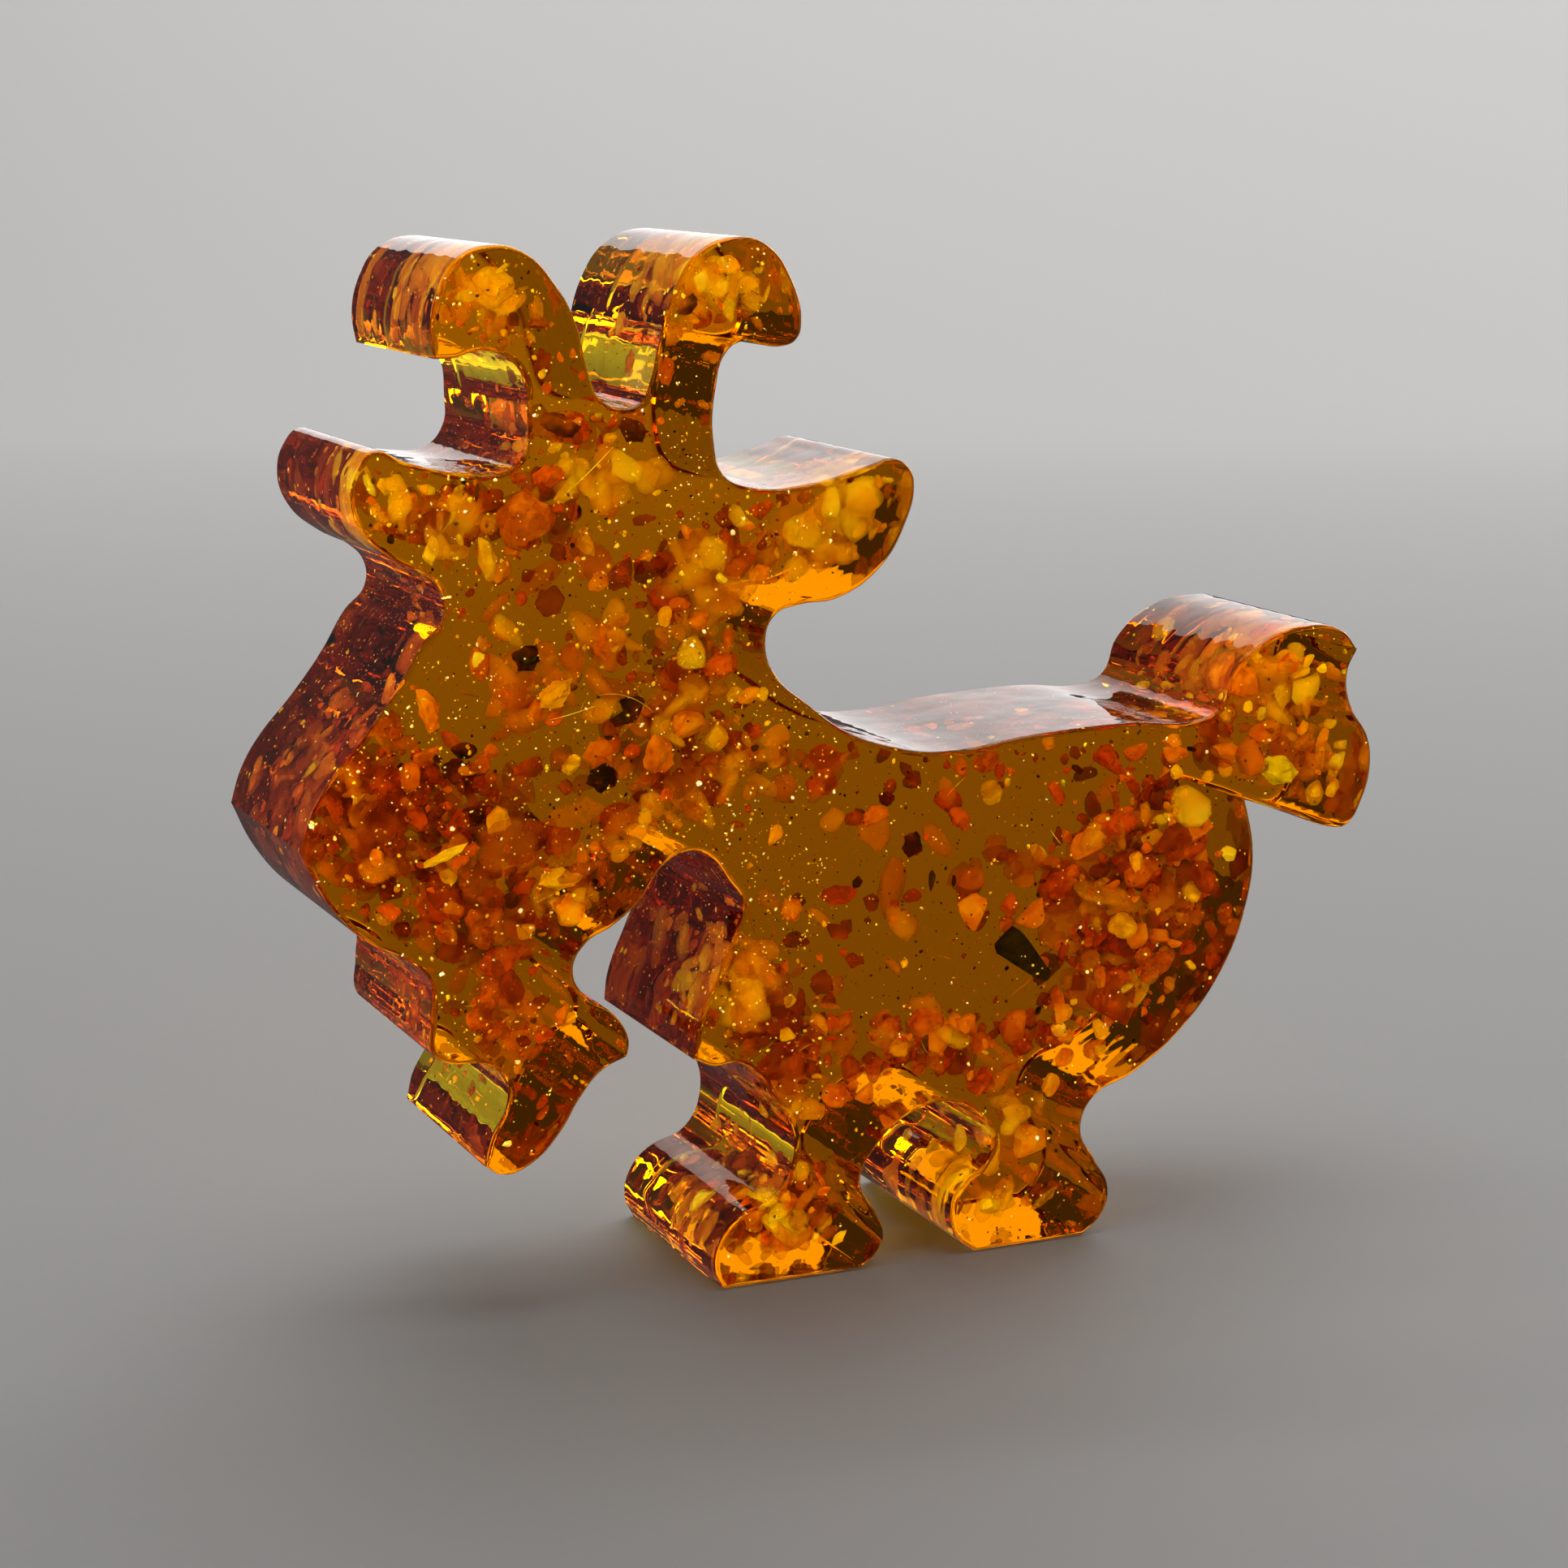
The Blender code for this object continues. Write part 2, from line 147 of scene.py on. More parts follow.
# The sealed chips' kinds, each the name of its material slot in the record
CREAM = "cream_amber"
YELLOW = "yellow_amber"
ORANGE = "orange_amber"
RED = "red_amber"
DARK = "dark_amber"
GREEN = "green_amber"
KINDS = (CREAM, YELLOW, ORANGE, RED, DARK, GREEN)

# Each kind's look: its deep, middle and bright tones, then its roughness and its opacity
CHIP_LOOKS = {
    CREAM: (((0.60, 0.30, 0.03), (0.86, 0.54, 0.08), (1.0, 0.76, 0.22)), 0.5, 0.75),
    YELLOW: (((0.66, 0.34, 0.01), (0.92, 0.62, 0.05), (1.0, 0.84, 0.16)), 0.4, 0.65),
    ORANGE: (((0.50, 0.09, 0.008), (0.90, 0.28, 0.016), (1.0, 0.54, 0.05)), 0.4, 0.6),
    RED: (((0.17, 0.010, 0.003), (0.40, 0.040, 0.003), (0.78, 0.13, 0.008)), 0.3, 0.6),
    DARK: (((0.01, 0.004, 0.002), (0.08, 0.014, 0.004), (0.26, 0.05, 0.01)), 0.5, 1.0),
    GREEN: (((0.36, 0.36, 0.02), (0.62, 0.66, 0.06), (0.80, 0.86, 0.16)), 0.4, 1.0),
}

# How fine the clouds of tone in a chip are, and how far apart the tones of two chips may lie
CHIP_CLOUD_SCALE = 900.0
TONE_SPREAD = 0.44

# Small chips that the photograph shows one by one: kind, centre, length and width, and the length's turn
# from +X towards +Z in degrees
SMALL_CHIPS = [
    (YELLOW, (-21.4, -5.5, 34.5), (0.9, 0.8), 30),
    (YELLOW, (-23.7, -5.2, 40.0), (1.4, 0.8), 80),
    (DARK, (-21.1, -4.8, 42.8), (1.8, 0.4), 85),
    (ORANGE, (-20.6, -4.8, 50.3), (2.1, 1.8), 60),
    (DARK, (-23.1, -5.2, 51.3), (1.4, 1.2), 80),
    (RED, (-24.1, 2.2, 51.6), (2.2, 1.1), 80),
    (DARK, (-17.7, -4.2, 50.9), (1.1, 0.8), 20),
    (DARK, (-18.9, -3.8, 51.1), (0.9, 0.7), -20),
    (RED, (-12.4, -4.8, 40.9), (1.4, 0.6), 10),
    (YELLOW, (-8.4, -3.8, 42.4), (1.6, 0.8), 75),
    (ORANGE, (-22.1, -4.8, 49.4), (1.5, 1.3), 10),
    (GREEN, (-14.0, -1.8, 46.1), (1.7, 1.3), -10),
    (YELLOW, (-9.6, -1.8, 46.6), (1.3, 1.0), 20),
    (DARK, (-8.3, -1.8, 46.4), (1.1, 0.9), 0),
    (ORANGE, (-16.1, -2.2, 49.1), (2.6, 1.9), 100),
    (RED, (-5.0, -3.2, 53.7), (1.5, 1.3), 30),
    (ORANGE, (-7.5, -3.8, 53.5), (1.3, 1.3), 0),
    (CREAM, (-10.2, -5.2, 52.1), (0.3, 0.3), 0),
    (CREAM, (-17.7, -5.2, 48.5), (0.6, 0.4), 60),
    (ORANGE, (-4.4, -3.2, 51.2), (1.7, 1.5), 80),
    (ORANGE, (-2.3, -2.8, 40.2), (2.2, 1.6), 20),
    (RED, (0.6, -1.2, 38.0), (2.4, 0.9), 30),
    (YELLOW, (-2.6, -0.8, 37.7), (1.7, 0.9), 50),
    (YELLOW, (-8.2, -5.2, 37.8), (0.6, 0.6), 0),
    (ORANGE, (-5.7, -3.2, 37.7), (1.5, 1.1), 50),
    (ORANGE, (-6.2, -3.2, 31.4), (1.4, 0.8), 10),
    (CREAM, (-3.4, -3.8, 31.2), (0.4, 0.4), 0),
    (RED, (-5.1, -1.8, 40.9), (1.3, 1.3), 0),
    (ORANGE, (-6.1, -1.8, 38.3), (2.6, 1.7), 20),
    (RED, (-6.1, 0.2, 34.6), (2.6, 1.6), 30),
    (ORANGE, (-14.2, -2.2, 37.7), (1.3, 1.1), 80),
    (RED, (-10.0, -0.2, 36.3), (2.6, 2.2), 40),
    (ORANGE, (-8.8, 0.2, 32.4), (3.1, 2.2), 30),
    (RED, (-6.4, -0.3, 28.8), (1.9, 1.6), 0),
    (RED, (-17.2, -4.2, 31.0), (1.2, 0.7), 30),
    (DARK, (-14.2, -4.2, 29.9), (0.6, 0.3), 0),
    (CREAM, (-11.6, -4.8, 42.3), (0.5, 0.3), 0),
    (RED, (-16.8, -5.2, 27.7), (1.0, 0.9), 0),
    (RED, (-11.2, -4.8, 26.7), (0.8, 0.6), 80),
    (RED, (-18.1, -2.2, 28.4), (2.2, 1.1), 10),
    (ORANGE, (-20.2, -3.2, 29.5), (0.9, 0.9), 0),
    (RED, (-19.9, -1.8, 41.9), (2.0, 1.3), 20),
    (RED, (-18.8, -0.8, 44.3), (2.6, 1.3), 10),
    (ORANGE, (-23.2, -1.3, 41.2), (1.9, 1.3), -20),
    (RED, (-22.4, -4.8, 24.2), (1.0, 0.9), 0),
    (RED, (-29.7, -4.8, 25.4), (1.3, 1.3), 60),
    (ORANGE, (-18.9, -4.2, 20.3), (1.1, 0.9), 20),
    (RED, (-22.9, -3.8, 19.5), (1.7, 1.3), 30),
    (DARK, (-18.7, -4.2, 13.1), (0.9, 0.7), 0),
    (YELLOW, (-16.3, -2.8, 15.0), (1.1, 0.8), 20),
    (YELLOW, (-13.4, -2.8, 23.7), (1.3, 1.0), 20),
    (YELLOW, (-9.9, -4.2, 23.7), (1.7, 0.6), -20),
    (RED, (-25.5, -2.2, 26.7), (2.6, 2.2), 30),
    (RED, (-21.9, -1.2, 25.9), (2.2, 1.9), 60),
    (RED, (-26.8, -0.2, 26.6), (1.9, 1.7), 0),
    (ORANGE, (-26.2, -0.8, 20.3), (2.2, 1.5), -40),
    (RED, (-19.5, -1.8, 18.5), (2.6, 1.7), 10),
    (RED, (-22.7, -0.8, 21.3), (2.6, 1.9), -20),
    (ORANGE, (-16.0, -0.2, 24.4), (2.2, 1.7), 30),
    (RED, (-12.6, 0.8, 24.9), (2.5, 1.8), 20),
    (ORANGE, (-20.8, -1.2, 15.6), (1.7, 1.3), 60),
    (RED, (-16.2, -0.8, 18.0), (2.2, 1.5), 30),
    (DARK, (-21.6, -0.3, 28.3), (1.7, 1.3), 20),
    (RED, (-0.9, 0.2, 27.5), (1.9, 1.3), 10),
    (ORANGE, (-4.8, -3.8, 23.9), (1.2, 0.9), 60),
    (DARK, (4.3, -3.8, 20.7), (1.2, 0.4), 85),
    (DARK, (5.6, -3.8, 20.5), (0.6, 0.3), 85),
    (RED, (4.1, -0.8, 19.5), (1.2, 0.8), 20),
    (RED, (0.1, 0.8, 19.7), (1.9, 1.1), 0),
    (ORANGE, (9.5, -1.8, 17.5), (1.0, 0.9), 20),
    (ORANGE, (11.0, -1.8, 17.9), (2.1, 1.6), 30),
    (RED, (0.1, -0.8, 18.1), (1.0, 0.9), 0),
    (ORANGE, (2.3, -5.2, 16.4), (0.6, 0.5), 60),
    (RED, (-5.0, -1.2, 16.2), (1.0, 0.9), 0),
    (RED, (-1.4, -2.8, 13.4), (1.2, 1.0), 60),
    (RED, (-3.9, -0.2, 11.1), (2.6, 2.2), 60),
    (RED, (5.7, -0.8, 10.4), (2.6, 2.4), 30),
    (RED, (2.4, -3.8, 11.8), (1.0, 0.9), 0),
    (ORANGE, (1.0, -1.8, 8.8), (1.5, 1.3), 0),
    (YELLOW, (-2.0, -0.8, 8.1), (1.7, 1.3), 0),
    (RED, (-8.3, -2.8, 14.2), (1.2, 1.1), 0),
    (YELLOW, (-8.6, -2.8, 12.6), (1.0, 0.9), 0),
    (RED, (8.4, -0.8, 8.6), (1.9, 1.6), 20),
    (YELLOW, (11.0, -3.2, 21.4), (1.4, 0.7), -50),
    (RED, (9.0, -2.8, 21.5), (1.1, 0.7), 0),
    (ORANGE, (8.6, -0.2, 26.4), (1.7, 1.5), 0),
    (ORANGE, (14.5, -1.8, 21.5), (2.2, 1.7), 40),
    (RED, (18.2, -1.8, 19.6), (1.7, 1.5), 20),
    (GREEN, (11.9, -4.8, 25.5), (0.4, 0.4), 0),
    (YELLOW, (19.5, -3.3, 25.3), (1.0, 0.8), 0),
    (YELLOW, (21.7, -2.8, 24.9), (1.0, 0.8), 0),
    (ORANGE, (19.2, -3.2, 27.1), (1.3, 0.9), 10),
    (ORANGE, (23.3, -1.8, 26.0), (2.6, 1.3), -10),
    (ORANGE, (17.3, -1.8, 26.5), (1.5, 1.0), 10),
    (ORANGE, (22.6, -1.8, 15.9), (1.7, 1.3), 60),
    (RED, (21.0, -1.8, 15.1), (1.7, 1.5), 20),
    (RED, (17.6, -0.8, 13.6), (1.7, 1.5), 20),
    (RED, (19.9, -0.7, 17.2), (1.9, 1.5), 60),
    (RED, (14.1, -2.8, 17.2), (1.1, 0.6), 80),
    (RED, (13.7, -2.8, 13.7), (1.2, 1.1), 0),
    (ORANGE, (17.3, -2.8, 16.3), (2.0, 1.5), 30),
    (ORANGE, (15.2, -1.8, 9.8), (2.2, 1.6), 20),
    (ORANGE, (13.1, -1.8, 9.4), (1.3, 1.1), 20),
    (ORANGE, (19.2, -2.2, 12.2), (1.9, 1.3), 50),
    (RED, (21.4, -2.8, 18.6), (2.2, 1.3), 70),
    (RED, (22.2, -0.8, 19.6), (1.7, 1.3), 70),
    (YELLOW, (28.4, -4.2, 30.6), (1.6, 0.9), 0),
    (YELLOW, (29.4, -3.8, 23.7), (1.1, 0.9), 80),
    (ORANGE, (27.4, -2.8, 30.6), (1.3, 1.0), 10),
    (RED, (28.2, -2.8, 28.2), (1.3, 1.1), 20),
    (RED, (27.3, -1.8, 28.7), (1.7, 1.3), 20),
    (ORANGE, (25.9, -1.2, 26.9), (2.2, 1.3), 20),
    (ORANGE, (29.2, -0.8, 25.2), (1.9, 1.6), 50),
    (ORANGE, (-3.6, -2.8, 1.7), (2.2, 1.6), 20),
    (CREAM, (-1.3, -4.2, 1.4), (1.3, 0.6), 30),
    (DARK, (5.9, -4.8, 2.3), (1.0, 0.3), 80),
    (YELLOW, (9.2, -1.8, 1.4), (2.6, 1.6), 20),
    (ORANGE, (-0.5, -2.8, 4.9), (2.6, 0.9), 80),
    (RED, (-7.4, 2.2, 2.2), (2.2, 1.1), 10),
    (ORANGE, (11.9, -1.7, 5.0), (2.6, 0.6), 85),
]

# How the crushed amber is mixed where it lies thick: the share of each kind
RUSTY = {CREAM: 0.02, YELLOW: 0.03, ORANGE: 0.20, RED: 0.69, DARK: 0.06}
GLOWING = {CREAM: 0.03, YELLOW: 0.09, ORANGE: 0.51, RED: 0.36, DARK: 0.01}
BRIGHT = {CREAM: 0.12, YELLOW: 0.44, ORANGE: 0.34, RED: 0.09, DARK: 0.01}
MIXED = {CREAM: 0.05, YELLOW: 0.10, ORANGE: 0.44, RED: 0.38, DARK: 0.03}

# Where the crushed amber lies thick: the area's name, centre x and z, half width and half height, number of
# chips, mix
CRUSHED = [
    ("horn_left", (-20.2, 51.6), (3.4, 3.4), 50, BRIGHT),
    ("horn_right", (-7.6, 51.6), (3.6, 3.6), 50, BRIGHT),
    ("crown", (-14.0, 46.2), (5.0, 2.6), 45, MIXED),
    ("ear_left", (-24.0, 42.0), (3.6, 2.6), 60, BRIGHT),
    ("ear_right", (-2.6, 40.0), (5.0, 3.4), 50, BRIGHT),
    ("forehead", (-17.8, 40.8), (4.0, 3.0), 45, RUSTY),
    ("head", (-16.5, 34.5), (6.0, 6.0), 25, MIXED),
    ("neck", (-8.4, 35.0), (4.0, 6.0), 70, MIXED),
    ("muzzle", (-24.5, 25.0), (6.0, 5.5), 220, RUSTY),
    ("jaw", (-17.0, 21.0), (5.0, 4.0), 110, RUSTY),
    ("beard", (-19.5, 12.5), (3.6, 4.6), 60, RUSTY),
    ("shoulder", (-9.0, 27.6), (5.0, 3.6), 45, MIXED),
    ("flank", (3.0, 18.5), (7.0, 6.0), 20, RUSTY),
    ("under_back", (7.0, 26.0), (9.0, 2.4), 45, RUSTY),
    ("chest", (-5.0, 12.0), (4.0, 6.0), 60, MIXED),
    ("belly", (3.0, 10.6), (6.5, 2.6), 80, GLOWING),
    ("rump", (17.6, 18.0), (6.0, 8.0), 250, GLOWING),
    ("haunch", (15.0, 11.0), (5.0, 3.0), 80, GLOWING),
    ("tail", (26.4, 27.6), (4.6, 5.4), 100, BRIGHT),
    ("front_foot", (-4.2, 2.8), (4.4, 3.2), 170, MIXED),
    ("hind_foot", (9.6, 3.0), (4.4, 3.6), 24, BRIGHT),
]

# The crushed chips: their middle size, how much it varies, the largest size, how ragged an area's rim is,
# how unevenly they are stretched, and the size under which they are made of fewer triangles
CRUSHED_SIZE = 0.95
CRUSHED_VARIETY = 0.55
CRUSHED_LARGEST = 3.4
CRUSHED_RAGGED_RIM = (0.75, 1.2)
CRUSHED_STRETCH = (0.45, 1.15)
PLAIN_BELOW = 1.0

# How far inside the outline and the faces every chip stays, a small chip's thickness as a share of its
# width, and how far it may shrink to fit
SKIN = 0.35
SMALL_CHIP_THINNESS = 0.75
SMALL_CHIP_SHRINK = (0.2, 1.0)

# How a chip is broken: the number of flat cuts, then, as shares of its half size, how far from its middle
# they are, its longest reach and its least evenness. The last is how far to the side of a cut a corner may
# lie and still be cut, as a cosine
CUTS = 11
CUT_DEPTHS = (0.5, 1.0)
CUT_LONGEST = 1.15
CUT_EVENNESS = 0.93
CUT_GRAZING = 0.1

# How rough the solids' broken surfaces are
CHIP_ROUGHNESS = 0.13
BARK_ROUGHNESS = 0.1

# Nothing lies in front of the bark splinter: its place, and how far round it the way is clear
BARK_CLEAR = (10.0, -2.4, 16.0)
BARK_CLEAR_REACH = 2.6

# Soft clouds of broad thin flakes, hardly told apart from the amber round them: centre, reach each way and
# number
GLOWING_CLOUDS = [
    ((0.9, -2.5, 41.4), (1.1, 2.0, 1.4), 30),
    ((-5.4, -2.5, 51.8), (1.1, 2.0, 1.6), 20),
    ((-7.0, -2.5, 46.0), (1.4, 2.0, 2.4), 14),
    ((-6.6, -1.0, 16.5), (1.4, 4.5, 3.2), 34),
    ((-14.6, -3.0, 43.6), (2.6, 2.0, 1.4), 22),
    ((-8.4, -3.0, 36.0), (1.8, 2.0, 3.0), 20),
    ((27.0, -3.0, 29.0), (2.0, 2.0, 2.0), 18),
    ((-23.0, -3.0, 41.8), (2.2, 2.0, 1.4), 24),
    ((-0.4, -3.5, 40.8), (1.8, 1.5, 1.5), 32),
    ((-8.4, -3.0, 52.6), (1.6, 2.0, 1.4), 16),
    ((-18.4, -3.0, 52.2), (1.4, 2.0, 1.3), 13),
    ((29.4, -3.0, 25.6), (0.8, 2.0, 1.8), 10),
    ((-1.6, -1.5, 39.6), (2.6, 2.5, 1.8), 42),
    ((-7.6, -1.5, 37.0), (2.2, 2.5, 2.6), 32),
    ((-9.0, 0.0, 30.5), (2.6, 3.0, 1.8), 26),
    ((-6.8, -1.0, 27.6), (2.4, 2.5, 1.6), 26),
    ((-13.8, -1.0, 34.4), (1.5, 2.0, 2.2), 16),
    ((-16.5, 0.0, 32.0), (2.4, 2.5, 1.4), 16),
    ((-11.5, -2.0, 25.0), (2.6, 2.5, 1.4), 19),
    ((-16.0, -2.0, 22.5), (2.6, 2.5, 1.6), 10),
    ((-19.6, -1.0, 52.0), (2.0, 3.0, 1.6), 19),
    ((-7.0, -1.0, 52.4), (2.2, 3.0, 1.6), 19),
    ((-4.4, -1.0, 7.0), (1.6, 3.0, 2.6), 19),
    ((-4.2, -1.0, 2.2), (2.8, 3.0, 1.4), 8),
    ((9.6, 0.0, 2.0), (2.6, 3.0, 1.2), 16),
    ((9.8, -1.0, 7.0), (2.0, 3.0, 2.0), 19),
    ((2.6, -1.0, 11.6), (2.4, 3.0, 2.0), 12),
    ((17.0, -1.0, 12.6), (2.6, 3.0, 2.0), 29),
    ((17.6, 0.0, 18.5), (4.0, 4.0, 4.5), 58),
    ((26.6, 0.0, 29.6), (2.6, 3.0, 2.0), 22),
    ((28.6, 0.0, 24.6), (1.6, 3.0, 1.8), 13),
    ((3.0, 0.0, 20.0), (6.0, 4.0, 6.0), 12),
    ((-18.0, 0.0, 36.0), (4.0, 4.0, 4.0), 16),
]
RUSTY_CLOUDS = [
    ((-19.0, -1.0, 25.5), (2.8, 3.5, 2.0), 24),
    ((-14.6, -2.0, 22.0), (1.6, 3.0, 1.2), 12),
    ((-4.4, -1.0, 2.4), (2.8, 3.5, 1.4), 90),
    ((-17.0, -1.0, 20.6), (2.8, 3.5, 1.8), 22),
    ((-27.2, 0.0, 27.5), (1.6, 4.5, 4.0), 60),
    ((-6.0, 0.0, 14.5), (1.6, 4.5, 3.2), 14),
    ((-19.8, 0.0, 14.5), (1.2, 4.5, 2.0), 16),
    ((-25.0, 0.0, 26.0), (4.5, 4.0, 4.5), 80),
    ((-21.5, 0.0, 20.0), (3.6, 4.0, 2.8), 42),
    ((-19.5, 0.0, 12.5), (1.8, 4.0, 3.0), 22),
    ((-13.0, -1.0, 27.5), (3.0, 3.0, 2.0), 22),
    ((-8.0, 1.0, 33.6), (2.2, 3.0, 1.8), 19),
    ((-24.0, 0.0, 42.0), (2.4, 3.5, 1.6), 22),
    ((-18.0, 0.0, 41.5), (2.6, 3.5, 1.8), 22),
    ((-14.0, 0.0, 46.0), (3.0, 4.0, 1.2), 19),
    ((-1.5, 0.0, 26.8), (2.6, 3.0, 1.2), 13),
    ((-3.4, 0.0, 13.0), (2.0, 3.5, 3.0), 22),
    ((5.7, 0.0, 10.2), (2.2, 3.5, 1.4), 16),
    ((9.0, -1.0, 21.0), (2.2, 3.0, 1.2), 10),
    ((20.4, 0.0, 17.0), (2.0, 4.0, 4.5), 50),
    ((23.4, 0.0, 26.0), (2.2, 3.5, 1.6), 16),
]

# The flakes' look: deep, middle and bright tones, roughness, opacity and how fine their clouds of tone are
GLOWING_TONES = ((0.72, 0.24, 0.01), (0.98, 0.54, 0.03), (1.0, 0.80, 0.10))
RUSTY_TONES = ((0.20, 0.015, 0.004), (0.52, 0.09, 0.006), (0.90, 0.30, 0.02))
HAZE_ROUGHNESS = 0.5
HAZE_OPACITY = 0.3
HAZE_CLOUD_SCALE = 450.0

# The flakes' middle size, how much it varies, the smallest size, and the most that they take of the room to
# the outline. Then their length, thickness and width as shares of their size, and how far they spread in a
# cloud as a share of its reach
FLAKE_SIZE = 2.3
FLAKE_VARIETY = 0.35
FLAKE_SMALLEST = 0.5
FLAKE_FIT = 1.8
FLAKE_LENGTH = (0.7, 1.0)
FLAKE_THICKNESS = (0.21, 0.42)
FLAKE_WIDTH = (0.5, 1.0)
CLOUD_SPREAD = 0.6

# Fine things: number, size, the ranges of x and z that they are scattered in, and how far inside they stay
GRIT = (2600, 0.11, (-31, 31), (0, 55), 0.15)
# Specks with a near-white and gold colour that is painted glint: it stands for the light that tiny cracks
# and bubbles in amber catch
PAINTED_GLINT_SPECKS = [
    (3400, 0.145, (-31, -2), (8, 55), 0.2),
    (1100, 0.145, (-12, 31), (0, 34), 0.2),
]
FIBRES = (26, 0.05, (-28, 26), (6, 52), 1.6)
GRIT_DEPTHS = (-6.4, 6.4)
FIBRE_DEPTHS = (-6.2, 6.2)

# How much the specks' sizes vary, and how unevenly they are stretched
GRIT_VARIETY = 0.5
PAINTED_GLINT_VARIETY = 0.4
SPECK_STRETCH = (0.5, 1.2)

# The painted glint specks' deepest place under their face, how they gather near the faces, and the share
# near the front one
PAINTED_GLINT_DEEPEST = 6.3
PAINTED_GLINT_GATHERING = 1.6
PAINTED_GLINTS_IN_FRONT = 0.6

# The random hairs: their ways and bends along each axis, their lengths, and how thin they are as a share of
# the thickest
HAIR_WAYS = (1.0, 0.25, 1.0)
HAIR_BENDS = (0.35, 0.05, 0.35)
HAIR_LENGTHS = (0.8, 1.5)
HAIR_THINNING = (0.6, 1.0)

# Hairs that the photograph shows: start, way, bend and length
HAIRS = [
    ((-15.2, -6.0, 32.3), (1.0, 0.1, 0.12), (0.05, 0.0, -0.32), 3.6),
    ((-17.7, -5.6, 31.2), (1.0, 0.0, 0.15), (0.0, 0.05, 0.05), 2.6),
    ((-13.9, -5.0, 44.8), (-0.7, 0.0, -0.7), (0.02, 0.05, 0.06), 3.4),
]


def link(obj):
    """Puts a new object in the scene."""
    bpy.context.scene.collection.objects.link(obj)
    return obj


def mesh_object(name, shape):
    """A new object from a bmesh, which is freed."""
    mesh = bpy.data.meshes.new(name)
    shape.to_mesh(mesh)
    shape.free()
    return link(bpy.data.objects.new(name, mesh))


def make_camera():
    """The photograph's view. Its clipping distances are in metres."""
    data = bpy.data.cameras.new("camera")
    data.sensor_width = 36.0
    data.lens = 0.5 * data.sensor_width / math.tan(math.radians(0.5 * CAMERA_FIELD))
    data.clip_start = 0.005
    data.clip_end = 10.0
    camera = link(bpy.data.objects.new("camera", data))
    camera.location = Vector(CAMERA_PLACE) * MM
    camera.rotation_euler = (math.radians(90.0 - CAMERA_DIP), 0.0, math.radians(-CAMERA_TURN))
    bpy.context.scene.camera = camera


def principled(name, colour, roughness, **sockets):
    """A material and its Principled shader. Other sockets are set by name, with _ for a space."""
    made = bpy.data.materials.new(name)
    made.use_nodes = True
    shader = made.node_tree.nodes["Principled BSDF"]
    shader.inputs["Base Color"].default_value = (*colour, 1.0)
    shader.inputs["Roughness"].default_value = roughness
    for socket, value in sockets.items():
        shader.inputs[socket.replace("_", " ")].default_value = value
    return made, shader


def make_stage():
    """A pale floor that sweeps up into a backdrop, turned to face the camera. Its sizes are in metres.

    It isn't mirrored, because a pale floor in the goat's walls would hide their colour.
    """
    floor_half = 0.42
    floor_drop = -0.00003
    sweep_start = 0.45
    sweep_radius = 0.5
    wall_top = 2.0
    sweep_steps = 16
    profile = [(-floor_half, 0.0), (sweep_start, 0.0)]
    for step in range(1, sweep_steps + 1):
        angle = math.radians(90.0 * step / sweep_steps)
        along = sweep_start + sweep_radius * math.sin(angle)
        profile.append((along, sweep_radius * (1.0 - math.cos(angle))))
    profile.append((sweep_start + sweep_radius, wall_top))
    shape = bmesh.new()
    left = [shape.verts.new((-floor_half, y, z + floor_drop)) for y, z in profile]
    right = [shape.verts.new((floor_half, y, z + floor_drop)) for y, z in profile]
    for step in range(len(profile) - 1):
        shape.faces.new((left[step], right[step], right[step + 1], left[step + 1]))
    floor = mesh_object("floor", shape)
    floor.data.shade_smooth()
    floor.rotation_euler = (0.0, 0.0, math.radians(-CAMERA_TURN))
    paper, _ = principled("floor_paper", (0.305, 0.30, 0.293), 0.6, Specular_IOR_Level=0.1)
    floor.data.materials.append(paper)
    floor.visible_glossy = False


def area_light(name, place, target, size, power):
    """A soft rectangular light that faces its target. Places and sizes are in metres."""
    data = bpy.data.lights.new(name, "AREA")
    data.shape = "RECTANGLE"
    data.size, data.size_y = size
    data.energy = power
    light = link(bpy.data.objects.new(name, data))
    light.location = place
    light.rotation_euler = (Vector(target) - Vector(place)).to_track_quat("-Z", "Y").to_euler()
    light.visible_camera = False
    return light


def make_lights(goat):
    """Soft boxes behind, beside and above the goat light it and the floor.

    The front and side boxes light the goat alone and aren't mirrored in it. Places and sizes are in metres.
    """
    middle = (0.0, 0.0, 0.025)
    room_light = 0.08
    area_light("soft_behind", (0.42, 0.58, 0.28), middle, (1.0, 0.50), 2.1)
    area_light("soft_left", (-0.75, 0.60, 0.36), middle, (0.6, 0.5), 0.8)
    area_light("soft_right", (0.75, 0.35, 0.30), middle, (0.6, 0.5), 1.4)
    area_light("soft_above", (0.0, 0.10, 0.80), middle, (0.7, 0.7), 4.3)
    area_light("backdrop_wash", (0.30, 0.62, 0.70), (0.40, 0.90, 0.15), (1.0, 0.3), 6.0)
    front = area_light("soft_front", (-0.10, -0.80, 0.22), middle, (0.8, 0.4), 17.5)
    side = area_light("soft_side", (-0.75, -0.30, 0.25), middle, (0.6, 0.4), 15.0)
    for light in (front, side):
        light.light_linking.receiver_collection = goat
        light.visible_glossy = False
    world = bpy.data.worlds.new("studio")
    world.use_nodes = True
    background = world.node_tree.nodes["Background"]
    background.inputs["Color"].default_value = (1.0, 1.0, 1.0, 1.0)
    background.inputs["Strength"].default_value = room_light
    bpy.context.scene.world = world


# Materials


def add_node(made, kind, **sockets):
    """A new node in a material. Its sockets are set by name, with _ for a space."""
    node = made.node_tree.nodes.new("ShaderNode" + kind)
    for socket, value in sockets.items():
        node.inputs[socket.replace("_", " ")].default_value = value
    return node


